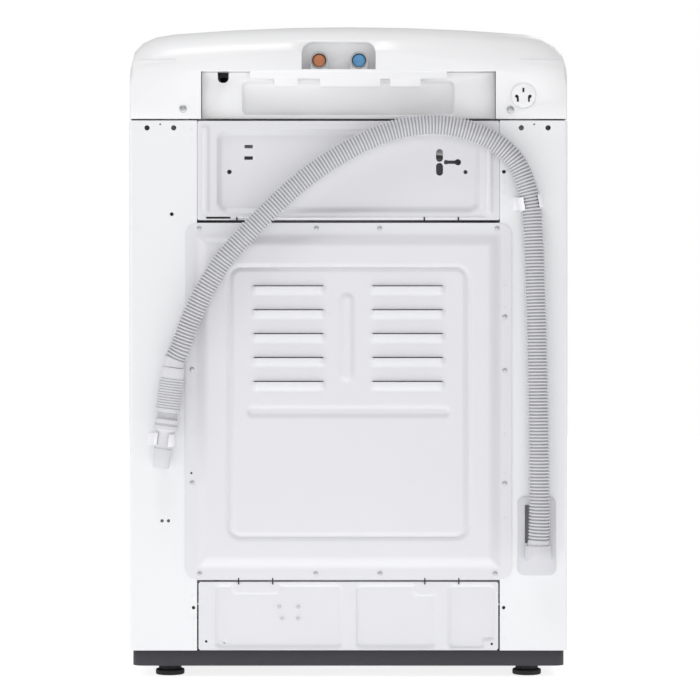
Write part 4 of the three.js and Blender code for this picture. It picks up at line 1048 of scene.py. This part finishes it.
class WASHER_OT_stage(bpy.types.Operator):
    """Places the camera, floor, backdrop and lights"""

    bl_idname = "washer.stage"
    bl_label = "Studio"

    def execute(self, context):
        studio = context.scene.washer_studio
        back = CAD_BOX[1][1] - 0.041
        eye = bpy.data.objects.new("camera", bpy.data.cameras.new("camera"))
        context.scene.collection.objects.link(eye)
        eye.location = (-0.0023, back + studio.eye_distance, studio.eye_height)
        eye.rotation_euler = (math.radians(90), 0, math.radians(180))
        eye.data.sensor_width = 36.0
        eye.data.lens = 36.0 * studio.eye_distance / studio.view_width
        eye.data.clip_end = 50.0
        context.scene.camera = eye
        ground = bpy.data.meshes.new("floor")
        ground.from_pydata([(-9, -9, 0), (9, -9, 0), (9, 9, 0), (-9, 9, 0)], [], [(0, 1, 2, 3)])
        floor = bpy.data.objects.new("floor", ground)
        context.scene.collection.objects.link(floor)
        s = Shader("studio_floor")
        tone = s.noise(2.0, 2.0)
        s.surface(Base_Color=s.mix(tone, (*studio.floor_color, 1.0), shade(studio.floor_color, 0.985)),
                  Roughness=0.7, Emission_Color=(1.0, 1.0, 1.0, 1.0), Emission_Strength=0.8)
        ground.materials.append(s.material)
        world = bpy.data.worlds.new("studio_air")
        world.use_nodes = True
        tree = world.node_tree
        air = tree.nodes["Background"]
        air.inputs["Color"].default_value = (1.0, 1.0, 1.0, 1.0)
        seen = tree.nodes.new("ShaderNodeLightPath")
        level = tree.nodes.new("ShaderNodeMapRange")
        tree.links.new(seen.outputs["Is Camera Ray"], level.inputs["Value"])
        level.inputs["To Min"].default_value = studio.air_level
        level.inputs["To Max"].default_value = 1.0
        tree.links.new(level.outputs["Result"], air.inputs["Strength"])
        context.scene.world = world
        context.scene.view_settings.view_transform = "Standard"
        for name, place, size, power in (
            ("key", (0.5, 1.25, 3.1), 0.8, studio.key_power),
            ("side", (2.7, 1.1, 1.0), 0.7, studio.fill_power),
            ("eye_fill", (-0.2, 3.5, 1.0), 1.6, studio.eye_power),
            ("front_key", (-1.5, -2.6, 2.4), 1.6, studio.key_power),
            ("over", (0.2, 0.2, 2.9), 1.6, studio.fill_power),
        ):
            light = bpy.data.lights.new(name, "AREA")
            light.energy, light.size = power, size
            lamp = bpy.data.objects.new(name, light)
            context.scene.collection.objects.link(lamp)
            lamp.location = place
            aim = Vector((0, 0, 0.5)) - Vector(place)
            lamp.rotation_euler = aim.to_track_quat("-Z", "Y").to_euler()
        return {"FINISHED"}


class WASHER_OT_hose(bpy.types.Operator):
    """Makes the corrugated drain hose and its nozzle"""

    bl_idname = "washer.hose"
    bl_label = "Drain hose"

    def execute(self, context):
        sizes = context.scene.washer_sizes
        hose, line, length = build_hose(sizes.hose_pitch, sizes.hose_sides)
        nozzle = build_nozzle()
        give(hose, "cabinet", "hose_plastic", "drain_hose")
        give(nozzle, "cabinet", "hose_plastic", "hose_end_nozzle")
        [tuple(p) for p in line[::4]] + [tuple(line[-1])]
        return {"FINISHED"}


class WASHER_OT_back(bpy.types.Operator):
    """Presses the three back panels"""

    bl_idname = "washer.back"
    bl_label = "Back panels"

    def execute(self, context):
        sizes = context.scene.washer_sizes
        for build, node in ((build_rear_cover, "rear_cover"), (build_upper_panel, "upper_back_panel"),
                            (build_lower_panel, "lower_back_panel")):
            give(build(sizes), "cabinet", "back_sheet", node)
        return {"FINISHED"}


class WASHER_OT_casing(bpy.types.Operator):
    """Finishes the cabinet, base, cover, lid and the fittings on the back"""

    bl_idname = "washer.casing"
    bl_label = "Casing"

    def execute(self, context):
        for node, bevel, segments in (
            ("cabinet_shell", 0.0003, 1), ("base_pan", 0.0012, 2), ("top_cover", 0.0009, 2),
            ("recess_panel", 0.0007, 2), ("plug_holder", 0.0004, 2), ("hose_outlet_housing", 0.0006, 2),
            ("upper_hose_clip", 0.0005, 2), ("lower_hose_clip", 0.0005, 2), ("lid_frame", 0.0008, 2),
            ("lid_glass", 0.0006, 2), ("dispenser_housing", 0.0006, 2), ("detergent_drawer", 0.0007, 2),
            ("left_hinge_pin", 0.0004, 2), ("right_hinge_pin", 0.0004, 2), ("control_panel", 0.0005, 2),
            ("drain_pump", 0.0008, 2), ("control_board", 0.001, 2),
        ):
            refined(node, bevel, segments)
        refined("display_window", 0.0004, 2, look="display")
        # Black boxes in the tab gaps: painted shade.
        give(build_tab_gap_shades(), "cabinet", "black_plastic")
        give(build_cover_lines(), "cabinet", "light_grey_plastic")
        return {"FINISHED"}


class WASHER_OT_inlets(bpy.types.Operator):
    """Makes the hot and cold water inlets and their coloured screens"""

    bl_idname = "washer.inlets"
    bl_label = "Water inlets"

    def execute(self, context):
        for name, slot in (("hot", "orange_plastic"), ("cold", "blue_plastic")):
            low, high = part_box(name + "_inlet_screen")
            x = (low.x + high.x) / 2 / MM
            collar = build_inlet(name, x)
            give(collar, "cabinet", "white_plastic")
            disc, bar, bore_shade_ring = build_screen(name, x)
            # The black ring is painted shade in the inlet's bore.
            give(bore_shade_ring, "cabinet", "black_rubber")
            give(build_pedestal(name, x), "cabinet", "white_plastic")
            give(disc, "cabinet", slot, name + "_inlet_screen")
            give(bar, "cabinet", slot, look=slot)
            refined(name + "_inlet_valve", 0.0005, 1)
        return {"FINISHED"}


class WASHER_OT_screws(bpy.types.Operator):
    """Sets the screws and pressed dimples on the back"""

    bl_idname = "washer.screws"
    bl_label = "Screws"

    def execute(self, context):
        head, pip = screw_head(0.0042), dimple_ring(0.0028)
        jobs = (
            ("cover_screws", on_back(COVER_SCREWS, 301.3), head, "zinc", 0.8),
            ("cover_dimples", on_back(COVER_DIMPLES, 301.2), pip, "back_sheet", 0.9),
            # Black pips in the holes: painted shade.
            ("cover_holes", on_back(COVER_HOLES, 301.2), pip, "black_plastic", 0.6),
            ("cabinet_dimples", on_back(CABINET_DIMPLES, 299.9), pip, "white_enamel", 1.0),
            ("top_cover_screws", on_back(TOP_SCREWS, 300.0), head, "zinc", 1.3),
            # Black pips in the holes: painted shade.
            ("cabinet_holes", on_back(CABINET_HOLES, 299.9), pip, "black_plastic", 0.5),
            ("panel_studs", on_back(PANEL_STUDS, 299.5), pip, "zinc", 0.9),
        )
        for name, points, shape, look, size in jobs:
            give(scatter(name, points, shape, look, size), "cabinet", look)
        for shape in (head, pip):
            bpy.data.objects.remove(shape)
        return {"FINISHED"}


class WASHER_OT_controls(bpy.types.Operator):
    """Makes the dial, its pointer and scale, and the buttons"""

    bl_idname = "washer.controls"
    bl_label = "Controls"

    def execute(self, context):
        give(build_dial(), "dial", "white_plastic", "program_dial")
        give(build_dial_mark(), "dial", "grey_plastic")
        give(build_dial_scale(), "cabinet", "white_plastic")
        for name in ("power_button", "start_button", "cycle_button", "rinse_button"):
            low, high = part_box(name)
            x, r = (low.x + high.x) / 2 / MM, (high.x - low.x) / 2 / MM
            give(build_button(name, x, r), name, "grey_plastic", name)
        return {"FINISHED"}


class WASHER_OT_inside(bpy.types.Operator):
    """Makes the tub, basket, pulsator, drive and suspension"""

    bl_idname = "washer.inside"
    bl_label = "Tub and drive"

    def execute(self, context):
        give(build_basket(context.scene.washer_sizes), "basket", "stainless", "wash_basket")
        for node in ("outer_tub", "tub_cover", "balance_ring", "basket_hub", "bearing_housing", "stator",
                     "rotor", "lint_filter", "pulsator", "drive_shaft"):
            refined(node, 0.0015 if node in ("pulsator", "balance_ring") else 0.0006, 2)
        for node in NODES:
            if node.startswith(("suspension_rod", "spring_cup", "foot_stem")):
                refined(node, 0.0004, 1)
        return {"FINISHED"}


class WASHER_OT_feet(bpy.types.Operator):
    """Makes the levelling feet"""

    bl_idname = "washer.feet"
    bl_label = "Feet"

    def execute(self, context):
        for node in [n for n in NODES if n.startswith("foot_pad")]:
            low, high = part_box(node)
            centre = ((low.x + high.x) / 2, (low.y + high.y) / 2, 0)
            profile = [(0, 0), (19.6, 0), (20.6, 0.6), (20.9, 1.8), (20.9, 6.2), (20.2, 7.4), (18.8, 7.9),
                       (16.6, 8.1), (16.9, 9.0), (16.9, 15.4), (16.2, 16.5), (5.6, 16.6), (5.4, 15.0),
                       (5.4, 4.2), (0, 4.2)]
            foot = turned(node + "_grip", in_metres(profile), centre, sides=96, wave=foot_lobes)
            give(foot, BODY_OF[node], "black_rubber", node)
        return {"FINISHED"}


class WASHER_PT_panel(bpy.types.Panel):
    """Lists the pieces of the washing machine"""

    bl_idname = "WASHER_PT_panel"
    bl_label = "Washer"
    bl_space_type = "VIEW_3D"
    bl_region_type = "UI"
    bl_category = "Washer"

    def draw(self, context):
        column = self.layout.column()
        for operator in OPERATORS:
            column.operator(operator.bl_idname)
        for group in (context.scene.washer_sizes, context.scene.washer_studio):
            for name in group.__annotations__:
                column.prop(group, name)


OPERATORS = (WASHER_OT_stage, WASHER_OT_hose, WASHER_OT_back, WASHER_OT_casing, WASHER_OT_inlets,
             WASHER_OT_screws, WASHER_OT_controls, WASHER_OT_inside, WASHER_OT_feet)
CLASSES = (WasherSizes, WasherStudio, *OPERATORS, WASHER_PT_panel)


def register():
    for cls in CLASSES:
        bpy.utils.register_class(cls)
    bpy.types.Scene.washer_sizes = bpy.props.PointerProperty(type=WasherSizes)
    bpy.types.Scene.washer_studio = bpy.props.PointerProperty(type=WasherStudio)


def unregister():
    del bpy.types.Scene.washer_sizes
    del bpy.types.Scene.washer_studio
    for cls in reversed(CLASSES):
        bpy.utils.unregister_class(cls)


def main():
    register()
    for operator in OPERATORS:
        group, name = operator.bl_idname.split(".")
        getattr(getattr(bpy.ops, group), name)()


if __name__ == "__main__":
    main()
